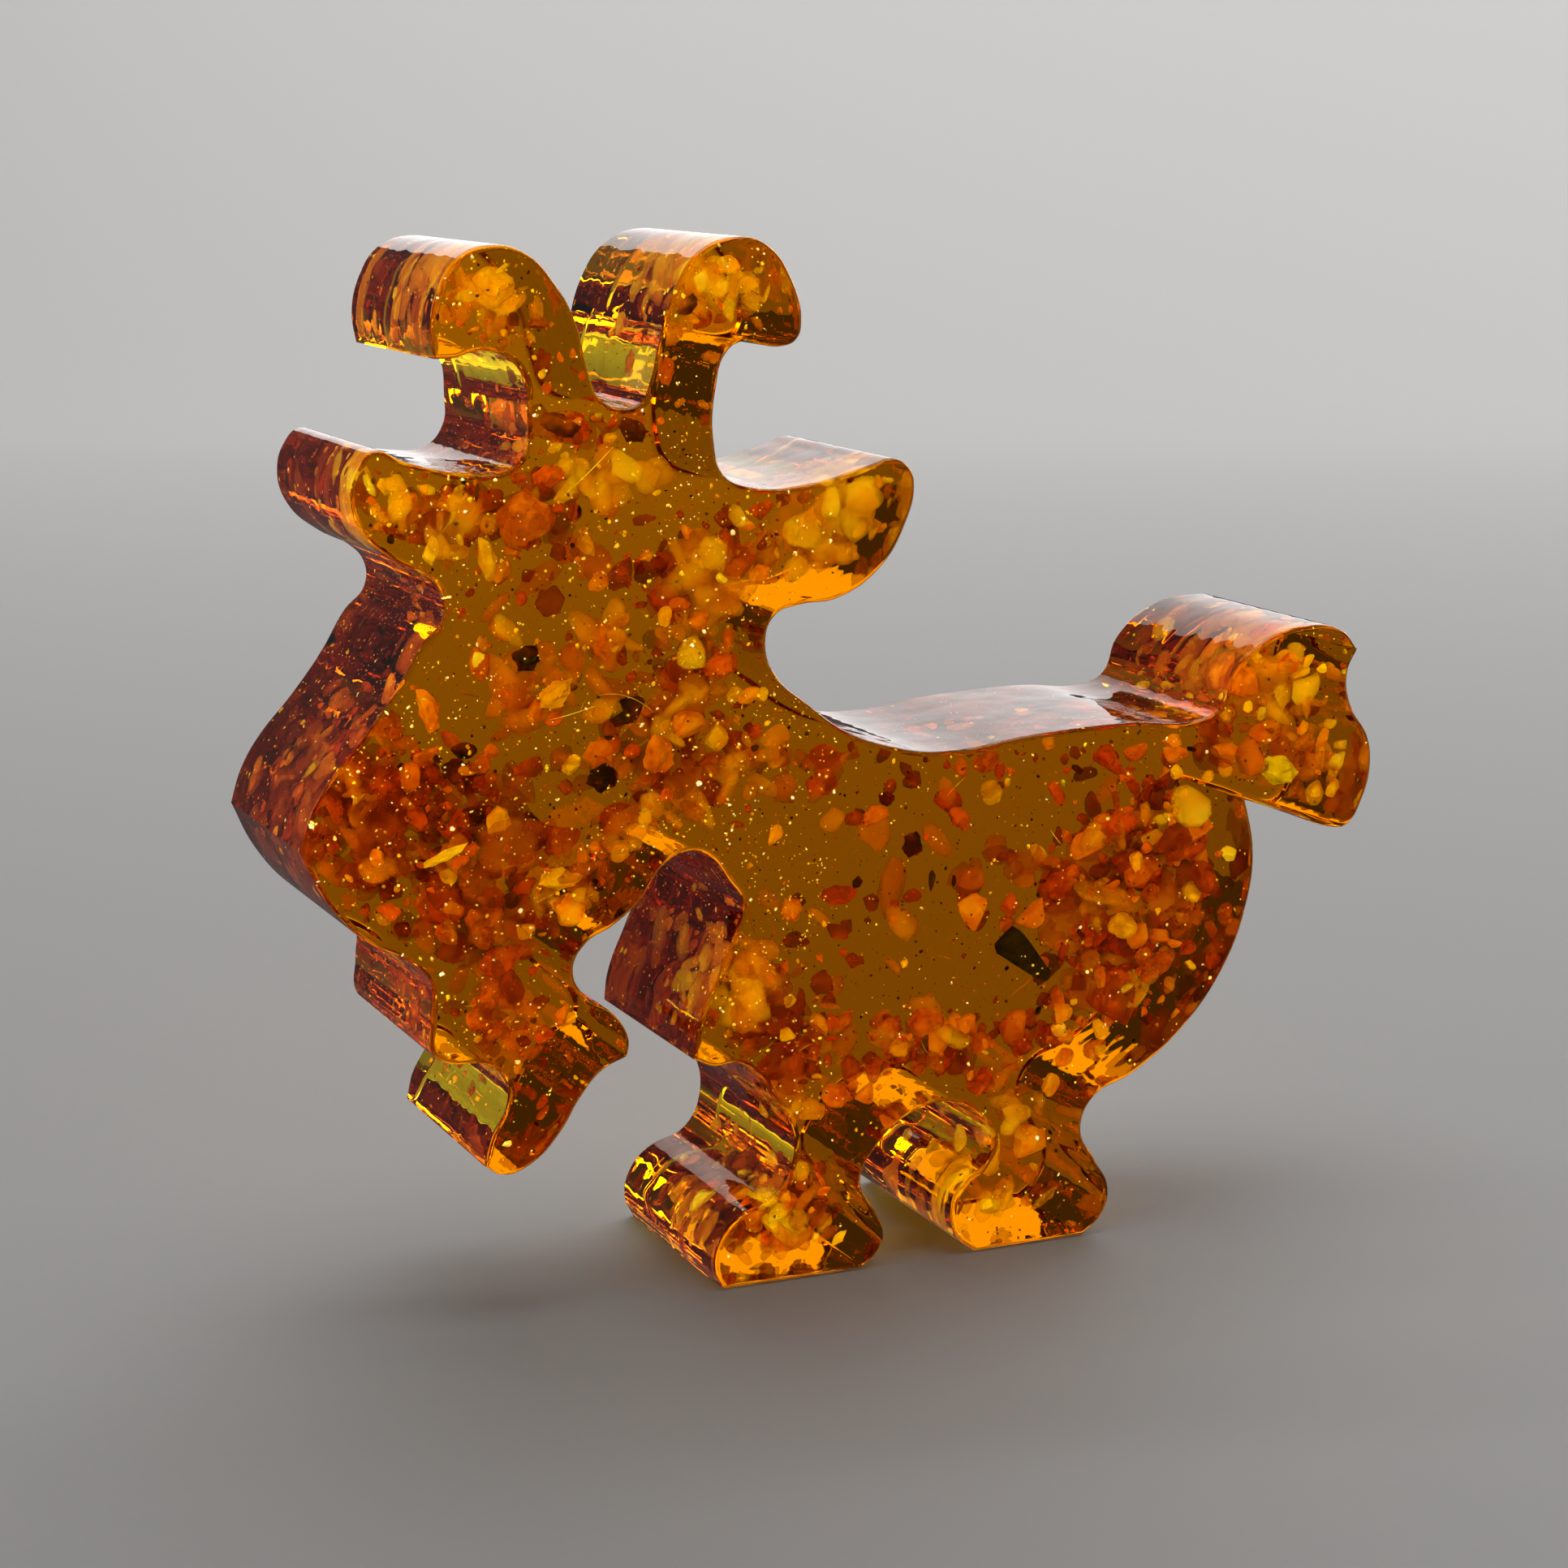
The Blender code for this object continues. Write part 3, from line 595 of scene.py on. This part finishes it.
def add_math(made, operation, *values):
    """A new Math node. A value of None is left to be joined."""
    node = add_node(made, "Math")
    node.operation = operation
    for socket, value in zip(node.inputs, values):
        if value is not None:
            socket.default_value = value
    return node


def join(output, socket):
    """Joins a node's output to another node's socket."""
    output.id_data.links.new(output, socket)


def add_noise(made, **sockets):
    """A noise texture that is fixed to the object."""
    place = add_node(made, "TexCoord")
    texture = add_node(made, "TexNoise", **sockets)
    join(place.outputs["Object"], texture.inputs["Vector"])
    return texture


def add_bump(made, shader, texture, strength, distance):
    """Bump on a shader from a texture. The distance is in metres."""
    bump = add_node(made, "Bump", Strength=strength, Distance=distance)
    join(texture.outputs["Fac"], bump.inputs["Height"])
    join(bump.outputs["Normal"], shader.inputs["Normal"])
    return bump


def add_ramp(made, shader, output, first, *rest):
    """Colours a shader by an output, through stops of a place and a colour."""
    ramp = add_node(made, "ValToRGB")
    stops = ramp.color_ramp.elements
    *between, last = rest
    for stop, (place, colour) in zip(stops, (first, last)):
        stop.position = place
        stop.color = (*colour, 1.0)
    for place, colour in between:
        stops.new(place).color = (*colour, 1.0)
    join(output, ramp.inputs["Fac"])
    join(ramp.outputs["Color"], shader.inputs["Base Color"])


def clear_amber():
    """Clear golden amber, with faint polishing waves that are stronger on its walls."""
    made, shader = principled(
        "clear_amber", (1.0, 1.0, 1.0), 0.0, Transmission_Weight=1.0, IOR=1.54,
        Specular_Tint=(0.6, 0.36, 0.05, 1.0),
    )
    absorb = add_node(made, "VolumeAbsorption", Color=(0.9675, 0.8945, 0.02, 1.0), Density=1200.0)
    join(absorb.outputs["Volume"], made.node_tree.nodes["Material Output"].inputs["Volume"])
    facing = add_node(made, "NewGeometry")
    split = add_node(made, "SeparateXYZ")
    join(facing.outputs["True Normal"], split.inputs["Vector"])
    flat = add_math(made, "ABSOLUTE")
    join(split.outputs["Y"], flat.inputs[0])
    on_wall = add_node(made, "MapRange", From_Min=1.0, From_Max=0.6, To_Min=0.06, To_Max=0.8)
    join(flat.outputs["Value"], on_wall.inputs["Value"])
    waves = add_noise(made, Scale=420.0, Detail=1.0)
    bump = add_bump(made, shader, waves, 1.0, 0.00008)
    join(on_wall.outputs["Result"], bump.inputs["Strength"])
    return made


def chip_amber(name, tones, roughness, opacity, cloud_scale=CHIP_CLOUD_SCALE):
    """Broken amber: clouds of three tones, a tone of its own for each chip, and a rough broken surface."""
    deep, middle, bright = tones
    made, shader = principled(name, middle, roughness, Alpha=opacity, Specular_IOR_Level=0.1)
    clouds = add_noise(made, Scale=cloud_scale, Detail=2.0, Roughness=0.6)
    lowered = add_math(made, "SUBTRACT", None, 0.5 * TONE_SPREAD)
    join(clouds.outputs["Fac"], lowered.inputs[0])
    own = add_node(made, "NewGeometry")
    tone = add_math(made, "MULTIPLY_ADD", None, TONE_SPREAD)
    join(own.outputs["Random Per Island"], tone.inputs[0])
    join(lowered.outputs["Value"], tone.inputs[2])
    add_ramp(made, shader, tone.outputs["Value"], (0.28, deep), (0.5, middle), (0.72, bright))
    grain = add_noise(made, Scale=5000.0, Detail=0.0)
    add_bump(made, shader, grain, 0.5, 0.00006)
    return made


def speck_material(name, dark, light, roughness):
    """Tiny things, each in a tone of its own between two colours."""
    made, shader = principled(name, light, roughness, Specular_IOR_Level=0.1)
    own = add_node(made, "NewGeometry")
    add_ramp(made, shader, own.outputs["Random Per Island"], (0.0, dark), (1.0, light))
    return made


def bark_material():
    """Near black bark with a fine torn grain."""
    made, shader = principled("bark", (0.012, 0.009, 0.007), 0.6, Specular_IOR_Level=0.1)
    grain = add_noise(made, Scale=1800.0, Detail=5.0, Distortion=1.2)
    add_ramp(made, shader, grain.outputs["Fac"], (0.35, (0.002, 0.0015, 0.001)), (0.8, (0.03, 0.018, 0.010)))
    add_bump(made, shader, grain, 0.8, 0.0001)
    return made


# The clear body


def outline_points():
    """The outline as a closed row of x and z points, read off the curve through the knots."""
    curve = bpy.data.curves.new("outline", "CURVE")
    curve.dimensions = "2D"
    spline = curve.splines.new("BEZIER")
    spline.bezier_points.add(len(OUTLINE) - 1)
    for point, knot in zip(spline.bezier_points, OUTLINE):
        point.co = (knot[0], knot[1], 0.0)
    for point, knot in zip(spline.bezier_points, OUTLINE):
        handle = "VECTOR" if CORNER in knot else "AUTO"
        point.handle_left_type = handle
        point.handle_right_type = handle
    spline.use_cyclic_u = True
    drawn = link(bpy.data.objects.new("outline", curve))
    bpy.context.view_layer.update()
    points = []
    rows = list(spline.bezier_points)
    for here, there in zip(rows, rows[1:] + rows[:1]):
        steps = geometry.interpolate_bezier(
            here.co, here.handle_right, there.handle_left, there.co, OUTLINE_STEPS + 1,
        )
        points += [(step.x, step.y) for step in steps[:-1]]
    bpy.data.objects.remove(drawn, do_unlink=True)
    return points


def amber_body(points):
    """The clear slab, one piece: the outline drawn through the thickness, with its face edges rounded."""
    shape = bmesh.new()
    front = [shape.verts.new((x * MM, -FACE_Y * MM, z * MM)) for x, z in points]
    back = [shape.verts.new((x * MM, FACE_Y * MM, z * MM)) for x, z in points]
    bmesh.ops.remove_doubles(shape, verts=shape.verts, dist=WELD * MM)
    front = [vert for vert in front if vert.is_valid]
    back = [vert for vert in back if vert.is_valid]
    shape.faces.new(front)
    shape.faces.new(list(reversed(back)))
    for step in range(len(front)):
        after = (step + 1) % len(front)
        shape.faces.new((front[after], front[step], back[step], back[after]))
    bmesh.ops.recalc_face_normals(shape, faces=shape.faces)
    face_edges = []
    for edge in shape.edges:
        start, end = (vert.co.y for vert in edge.verts)
        if abs(start - end) < WELD * MM:
            face_edges.append(edge)
    bmesh.ops.bevel(
        shape, geom=face_edges, offset=EDGE_ROUND * MM, offset_type="OFFSET", segments=EDGE_SEGMENTS,
        profile=0.5, affect="EDGES", clamp_overlap=False,
    )
    body = mesh_object("amber_body", shape)
    body.data.shade_smooth()
    sharp_over = 35.0
    body.data.set_sharp_from_angle(angle=math.radians(sharp_over))
    weighted = body.modifiers.new("flat_faces", "WEIGHTED_NORMAL")
    weighted.mode = "FACE_AREA"
    weighted.weight = 100
    weighted.keep_sharp = True
    body.data.materials.append(clear_amber())
    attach(body, BODY)
    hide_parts("amber_front_half", "amber_back_half")


def clearance(points, x, z):
    """How far each place is inside the outline: the distance to it, negative outside."""
    start = np.array(points)
    end = np.roll(start, -1, axis=0)
    along = end - start
    x = np.asarray(x, float)[:, None]
    z = np.asarray(z, float)[:, None]
    tiny = 1e-12
    length = np.maximum((along ** 2).sum(1), tiny)
    share = ((x - start[:, 0]) * along[:, 0] + (z - start[:, 1]) * along[:, 1]) / length
    share = np.clip(share, 0.0, 1.0)
    away = np.hypot(x - start[:, 0] - share * along[:, 0], z - start[:, 1] - share * along[:, 1]).min(1)
    crosses = (start[:, 1] > z) != (end[:, 1] > z)
    rise = np.where(np.abs(along[:, 1]) < tiny, tiny, along[:, 1])
    at = start[:, 0] + (z - start[:, 1]) / rise * along[:, 0]
    inside = (crosses & (x < at)).sum(1) % 2 == 1
    return np.where(inside, away, -away)


# Sealed chips


def template(subdivisions):
    """The corners and faces of a ball of triangles, as arrays."""
    shape = bmesh.new()
    bmesh.ops.create_icosphere(shape, subdivisions=subdivisions, radius=1.0)
    corners = np.array([vert.co[:] for vert in shape.verts])
    faces = np.array([[vert.index for vert in face.verts] for face in shape.faces])
    shape.free()
    return corners, faces


def random_turns(draw, number):
    """Random rotation matrices."""
    quaternion = draw.normal(size=(number, 4))
    quaternion /= np.linalg.norm(quaternion, axis=1, keepdims=True)
    w, x, y, z = quaternion.T
    return np.stack([
        np.stack([1 - 2 * (y * y + z * z), 2 * (x * y - z * w), 2 * (x * z + y * w)], -1),
        np.stack([2 * (x * y + z * w), 1 - 2 * (x * x + z * z), 2 * (y * z - x * w)], -1),
        np.stack([2 * (x * z - y * w), 2 * (y * z + x * w), 1 - 2 * (x * x + y * y)], -1),
    ], 1)


class Crumbs:
    """Many small closed shapes, gathered into one mesh."""

    def __init__(self):
        self.corners = []
        self.faces = []
        self.count = 0

    def add(self, draw, ball, places, half_sizes, turns):
        """Copies of a ball of triangles, each broken by flat cuts, stretched, turned and moved."""
        corners, faces = ball
        number = len(places)
        cuts = draw.normal(size=(number, CUTS, 3))
        cuts /= np.linalg.norm(cuts, axis=2, keepdims=True)
        facing = np.einsum("nki,ci->nkc", cuts, corners / np.linalg.norm(corners, axis=1, keepdims=True))
        depth = draw.uniform(*CUT_DEPTHS, size=(number, CUTS, 1))
        uncut = 2.0 * CUT_LONGEST
        reach = np.where(facing > CUT_GRAZING, depth / np.maximum(facing, CUT_GRAZING), uncut).min(1)
        evenness = draw.uniform(CUT_EVENNESS, 1.0, size=(number, len(corners)))
        reach = np.minimum(reach, CUT_LONGEST) * evenness
        stretched = corners[None] * reach[:, :, None] * np.asarray(half_sizes)[:, None, :]
        placed = np.einsum("nij,nkj->nki", turns, stretched) + np.asarray(places)[:, None, :]
        self.corners.append(placed.reshape(-1, 3) * MM)
        offsets = self.count + np.arange(number)[:, None, None] * len(corners)
        self.faces.append((faces[None] + offsets).reshape(-1, 3))
        self.count += number * len(corners)

    def add_mesh(self, corners, faces):
        """One closed shape, in metres."""
        self.corners.append(np.asarray(corners))
        self.faces.append(np.asarray(faces) + self.count)
        self.count += len(corners)

    def make(self, name, made, smooth=False):
        """The gathered shapes as one piece of the goat, in one material."""
        mesh = bpy.data.meshes.new(name)
        mesh.from_pydata(np.concatenate(self.corners).tolist(), [], np.concatenate(self.faces).tolist())
        if smooth:
            mesh.shade_smooth()
        mesh.materials.append(made)
        piece = link(bpy.data.objects.new(name, mesh))
        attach(piece, BODY)
        return piece


def broken_surface(node, roughness):
    """A node's solid with a rough broken surface, as corners and triangles in metres.

    It is drawn in a little before lumps and ridges lift it, so that it stays about as large as the solid.
    """
    shape = bmesh.new()
    shape.from_mesh(frame["nodes"][node].data)
    bmesh.ops.remove_doubles(shape, verts=shape.verts, dist=WELD * MM)
    bmesh.ops.triangulate(shape, faces=shape.faces)
    bmesh.ops.subdivide_edges(shape, edges=shape.edges, cuts=3, use_grid_fill=True)
    bmesh.ops.triangulate(shape, faces=shape.faces)
    low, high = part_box(node)
    reach = 0.5 * min(high - low)
    drawn_in = 0.37
    shape.normal_update()
    moves = []
    for vert in shape.verts:
        place = vert.co / reach
        lumps = noise.fractal(place * 0.9, 1.0, 2.0, 3)
        ridges = 0.5 * abs(noise.noise(place * 2.3))
        moves.append(vert.normal * (lumps + ridges - drawn_in) * roughness * reach * 2.0)
    for vert, move in zip(shape.verts, moves):
        vert.co += move
    shape.verts.index_update()
    corners = [vert.co[:] for vert in shape.verts]
    faces = [[vert.index for vert in face.verts] for face in shape.faces]
    shape.free()
    return corners, faces


def chip_nodes_of(kind):
    """The names of the nodes of one kind of chip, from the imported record."""
    return [part["node"] for part in frame["record"]["subparts"] if part["material_slot"] == kind]


def turned_about_y(degrees):
    """Turns of a chip's length from +X towards +Z."""
    return np.array([np.array(Matrix.Rotation(-math.radians(turn), 3, "Y")) for turn in degrees])


def in_line_with_bark(x, z, margin=0.0):
    """Which places lie before or behind the bark splinter, seen from the front."""
    return np.hypot(x - BARK_CLEAR[0], z - BARK_CLEAR[2]) < BARK_CLEAR_REACH + margin


def add_small_chips(piles, points):
    """The small chips that the photograph shows one by one."""
    draw = np.random.default_rng(11)
    ball = template(3)
    for kind in KINDS:
        rows = [row for row in SMALL_CHIPS if row[0] == kind]
        places = np.array([row[1] for row in rows])
        sizes = np.array([(length, SMALL_CHIP_THINNESS * width, width) for _, _, (length, width), _ in rows])
        room = clearance(points, places[:, 0], places[:, 2]) - SKIN
        shrink = np.clip(2.0 * room / sizes[:, 0], *SMALL_CHIP_SHRINK)
        half = 0.5 * sizes * shrink[:, None]
        piles[kind].add(draw, ball, places, half, turned_about_y([row[3] for row in rows]))


def add_crushed_amber(piles, points):
    """The crushed amber that lies thick in places: chips of random size, place and turn."""
    draw = np.random.default_rng(23)
    plain = template(2)
    detailed = template(3)
    for _, centre, reach, number, mix in CRUSHED:
        angle = draw.uniform(0.0, 2.0 * math.pi, number)
        radius = np.sqrt(draw.uniform(0.0, 1.0, number)) * draw.uniform(*CRUSHED_RAGGED_RIM, number)
        x = centre[0] + reach[0] * radius * np.cos(angle)
        z = centre[1] + reach[1] * radius * np.sin(angle)
        size = np.minimum(CRUSHED_SIZE * np.exp(CRUSHED_VARIETY * draw.normal(size=number)), CRUSHED_LARGEST)
        # Most lie near mid thickness
        depth = draw.uniform(-0.5, 0.5, number) + draw.uniform(-0.5, 0.5, number)
        y = depth * (FACE_Y - SKIN - 0.5 * size)
        stretch = draw.uniform(*CRUSHED_STRETCH, size=(number, 3))
        kinds = draw.choice(list(mix), size=number, p=list(mix.values()))
        room = clearance(points, x, z) - SKIN
        before_bark = (y < BARK_CLEAR[1]) & in_line_with_bark(x, z)
        fits = (room > 0.5 * size * CUT_LONGEST) & ~before_bark
        for kind in mix:
            for ball, chosen in ((plain, size < PLAIN_BELOW), (detailed, size >= PLAIN_BELOW)):
                pick = fits & chosen & (kinds == kind)
                if pick.any():
                    places = np.stack([x, y, z], 1)[pick]
                    half = 0.5 * size[pick, None] * stretch[pick]
                    piles[kind].add(draw, ball, places, half, random_turns(draw, pick.sum()))


def sealed_chips(points):
    """Every chip of amber in the slab: one piece for each kind, which stands for that kind's nodes."""
    piles = {kind: Crumbs() for kind in KINDS}
    for kind in KINDS:
        for node in chip_nodes_of(kind):
            piles[kind].add_mesh(*broken_surface(node, CHIP_ROUGHNESS))
    add_small_chips(piles, points)
    add_crushed_amber(piles, points)
    for kind in KINDS:
        piece = piles[kind].make(kind.replace("amber", "chips"), chip_amber(kind, *CHIP_LOOKS[kind]))
        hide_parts(*chip_nodes_of(kind))


def haze_piece(points, name, clouds, seed, tones):
    """Broad thin flakes of amber, gathered in soft clouds behind and between the chips."""
    draw = np.random.default_rng(seed)
    ball = template(2)
    pile = Crumbs()
    for centre, reach, number in clouds:
        x, y, z = (np.array(centre) + np.array(reach) * CLOUD_SPREAD * draw.normal(size=(number, 3))).T
        size = FLAKE_SIZE * np.exp(FLAKE_VARIETY * draw.normal(size=number))
        size = np.minimum(size, FLAKE_FIT * np.maximum(clearance(points, x, z) - SKIN, 0.0))
        depth_room = FACE_Y - SKIN - 0.5 * size
        y = np.clip(y, -depth_room, depth_room)
        before_bark = (y < 0.0) & in_line_with_bark(x, z, 0.5 * size)
        pick = (size > FLAKE_SMALLEST) & ~before_bark
        kept = pick.sum()
        shares = [draw.uniform(*share, kept) for share in (FLAKE_LENGTH, FLAKE_THICKNESS, FLAKE_WIDTH)]
        half = 0.5 * size[pick, None] * np.stack(shares, 1)
        pile.add(draw, ball, np.stack([x, y, z], 1)[pick], half, random_turns(draw, kept))
    made = chip_amber(name, tones, HAZE_ROUGHNESS, HAZE_OPACITY, HAZE_CLOUD_SCALE)
    return pile.make(name, made, smooth=True)


def amber_haze(points):
    """The soft clouds in the amber: glowing ones of orange and rusty ones of red-brown."""
    glowing = haze_piece(points, "glowing_haze", GLOWING_CLOUDS, 29, GLOWING_TONES)
    rusty = haze_piece(points, "rusty_haze", RUSTY_CLOUDS, 47, RUSTY_TONES)


# Grit, glitter and fibres


def scattered_places(draw, points, number, x_range, z_range, y_range, skin):
    """Random places inside the slab, within the ranges."""
    found = np.empty((0, 3))
    while len(found) < number:
        x = draw.uniform(*x_range, number)
        z = draw.uniform(*z_range, number)
        y = draw.uniform(*y_range, number)
        keep = clearance(points, x, z) > skin
        found = np.concatenate([found, np.stack([x, y, z], 1)[keep]])
    return found[:number]


def speck_sizes(draw, size, variety, number):
    """Specks' sizes each way, which vary from speck to speck and are stretched unevenly."""
    own = size * np.exp(variety * draw.normal(size=(number, 1)))
    return own * draw.uniform(*SPECK_STRETCH, size=(number, 3))


def grit(points):
    """Black and brown specks all through the slab."""
    draw = np.random.default_rng(31)
    number, size, x_range, z_range, skin = GRIT
    places = scattered_places(draw, points, number, x_range, z_range, GRIT_DEPTHS, skin)
    sizes = speck_sizes(draw, size, GRIT_VARIETY, number)
    pile = Crumbs()
    pile.add(draw, template(1), places, 0.5 * sizes, random_turns(draw, number))
    piece = pile.make("grit", speck_material("grit", (0.005, 0.003, 0.002), (0.16, 0.05, 0.015), 0.6))


def glitter(points):
    """Tiny flakes and bubbles with a bright pale colour that is painted glint, thickest in the head and
    horns and near the front face.
    """
    draw = np.random.default_rng(37)
    pile = Crumbs()
    ball = template(1)
    for number, size, x_range, z_range, skin in PAINTED_GLINT_SPECKS:
        places = scattered_places(draw, points, number, x_range, z_range, (0.0, 1.0), skin)
        depth = draw.uniform(0.0, 1.0, number) ** PAINTED_GLINT_GATHERING
        side = np.where(draw.uniform(size=number) < PAINTED_GLINTS_IN_FRONT, -1.0, 1.0)
        places[:, 1] = side * (FACE_Y - skin - PAINTED_GLINT_DEEPEST * depth)
        sizes = speck_sizes(draw, size, PAINTED_GLINT_VARIETY, number)
        pile.add(draw, ball, places, 0.5 * sizes, random_turns(draw, number))
    # Painted glint: the specks are coloured near-white and gold for the light that tiny cracks and bubbles
    # catch, instead of being clear
    made = speck_material("glitter", (0.95, 0.62, 0.10), (1.0, 0.97, 0.80), 0.3)
    piece = pile.make("glitter", made)


def fibre(pile, start, way, bend, length, thickness):
    """One fine curved hair, a closed tube that is thinner at its ends."""
    steps = 14
    sides = 5
    tip = 0.25
    corners = []
    faces = []
    here = Vector(start)
    way = Vector(way).normalized()
    bend = Vector(bend)
    for step in range(steps + 1):
        across = way.orthogonal().normalized()
        other = way.cross(across)
        taper = 0.5 * thickness * (tip + (1.0 - tip) * math.sin(math.pi * step / steps))
        for side in range(sides):
            angle = 2.0 * math.pi * side / sides
            spot = here + (across * math.cos(angle) + other * math.sin(angle)) * taper
            corners.append((spot * MM)[:])
        here = here + way * (length / steps)
        way = (way + bend * (length / steps)).normalized()
    for step in range(steps):
        for side in range(sides):
            a = step * sides + side
            b = step * sides + (side + 1) % sides
            faces.append((a, b, b + sides))
            faces.append((a, b + sides, a + sides))
    for first, flip in ((0, True), (steps * sides, False)):
        ring = [first + side for side in range(sides)]
        for side in range(1, sides - 1):
            face = (ring[0], ring[side], ring[side + 1])
            faces.append(tuple(reversed(face)) if flip else face)
    pile.add_mesh(corners, faces)


def fibres(points):
    """Fine hairs: those that the photograph shows, and random ones."""
    pile = Crumbs()
    number, thickness, x_range, z_range, skin = FIBRES
    for start, way, bend, length in HAIRS:
        fibre(pile, start, way, bend, length, thickness)
    draw = np.random.default_rng(41)
    places = scattered_places(draw, points, number, x_range, z_range, FIBRE_DEPTHS, skin)
    for place in places:
        way = draw.normal(size=3) * HAIR_WAYS
        bend = draw.normal(size=3) * HAIR_BENDS
        length = draw.uniform(*HAIR_LENGTHS)
        fibre(pile, place, way, bend, length, thickness * draw.uniform(*HAIR_THINNING))
    made = speck_material("fibre", (0.30, 0.12, 0.03), (0.95, 0.80, 0.45), 0.5)
    piece = pile.make("fibres", made, smooth=True)


def bark_splinter():
    """The black splinter in the flank: the node's flat shape with a torn grain."""
    pile = Crumbs()
    pile.add_mesh(*broken_surface("bark_splinter", BARK_ROUGHNESS))
    piece = pile.make("splinter_of_bark", bark_material())
    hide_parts("bark_splinter")


def gather(goat):
    """Puts the goat's pieces where its own lights reach them. The sealed ones cast no shadows."""
    for piece in bpy.data.objects:
        if piece.type == "MESH" and piece.name != "floor":
            goat.objects.link(piece)
            piece.visible_shadow = piece.name == "amber_body"


def render_settings():
    """Enough bounces for light to find its way through the amber and out."""
    scene = bpy.context.scene
    scene.view_settings.view_transform = "Standard"
    scene.cycles.max_bounces = 12
    scene.cycles.transmission_bounces = 12
    scene.cycles.glossy_bounces = 8
    scene.cycles.diffuse_bounces = 4
    scene.cycles.transparent_max_bounces = 10
    scene.cycles.use_denoising = True


make_camera()
make_stage()
goat = bpy.data.collections.new("goat")
make_lights(goat)
outline = outline_points()
amber_body(outline)
sealed_chips(outline)
amber_haze(outline)
grit(outline)
glitter(outline)
fibres(outline)
bark_splinter()
gather(goat)
render_settings()
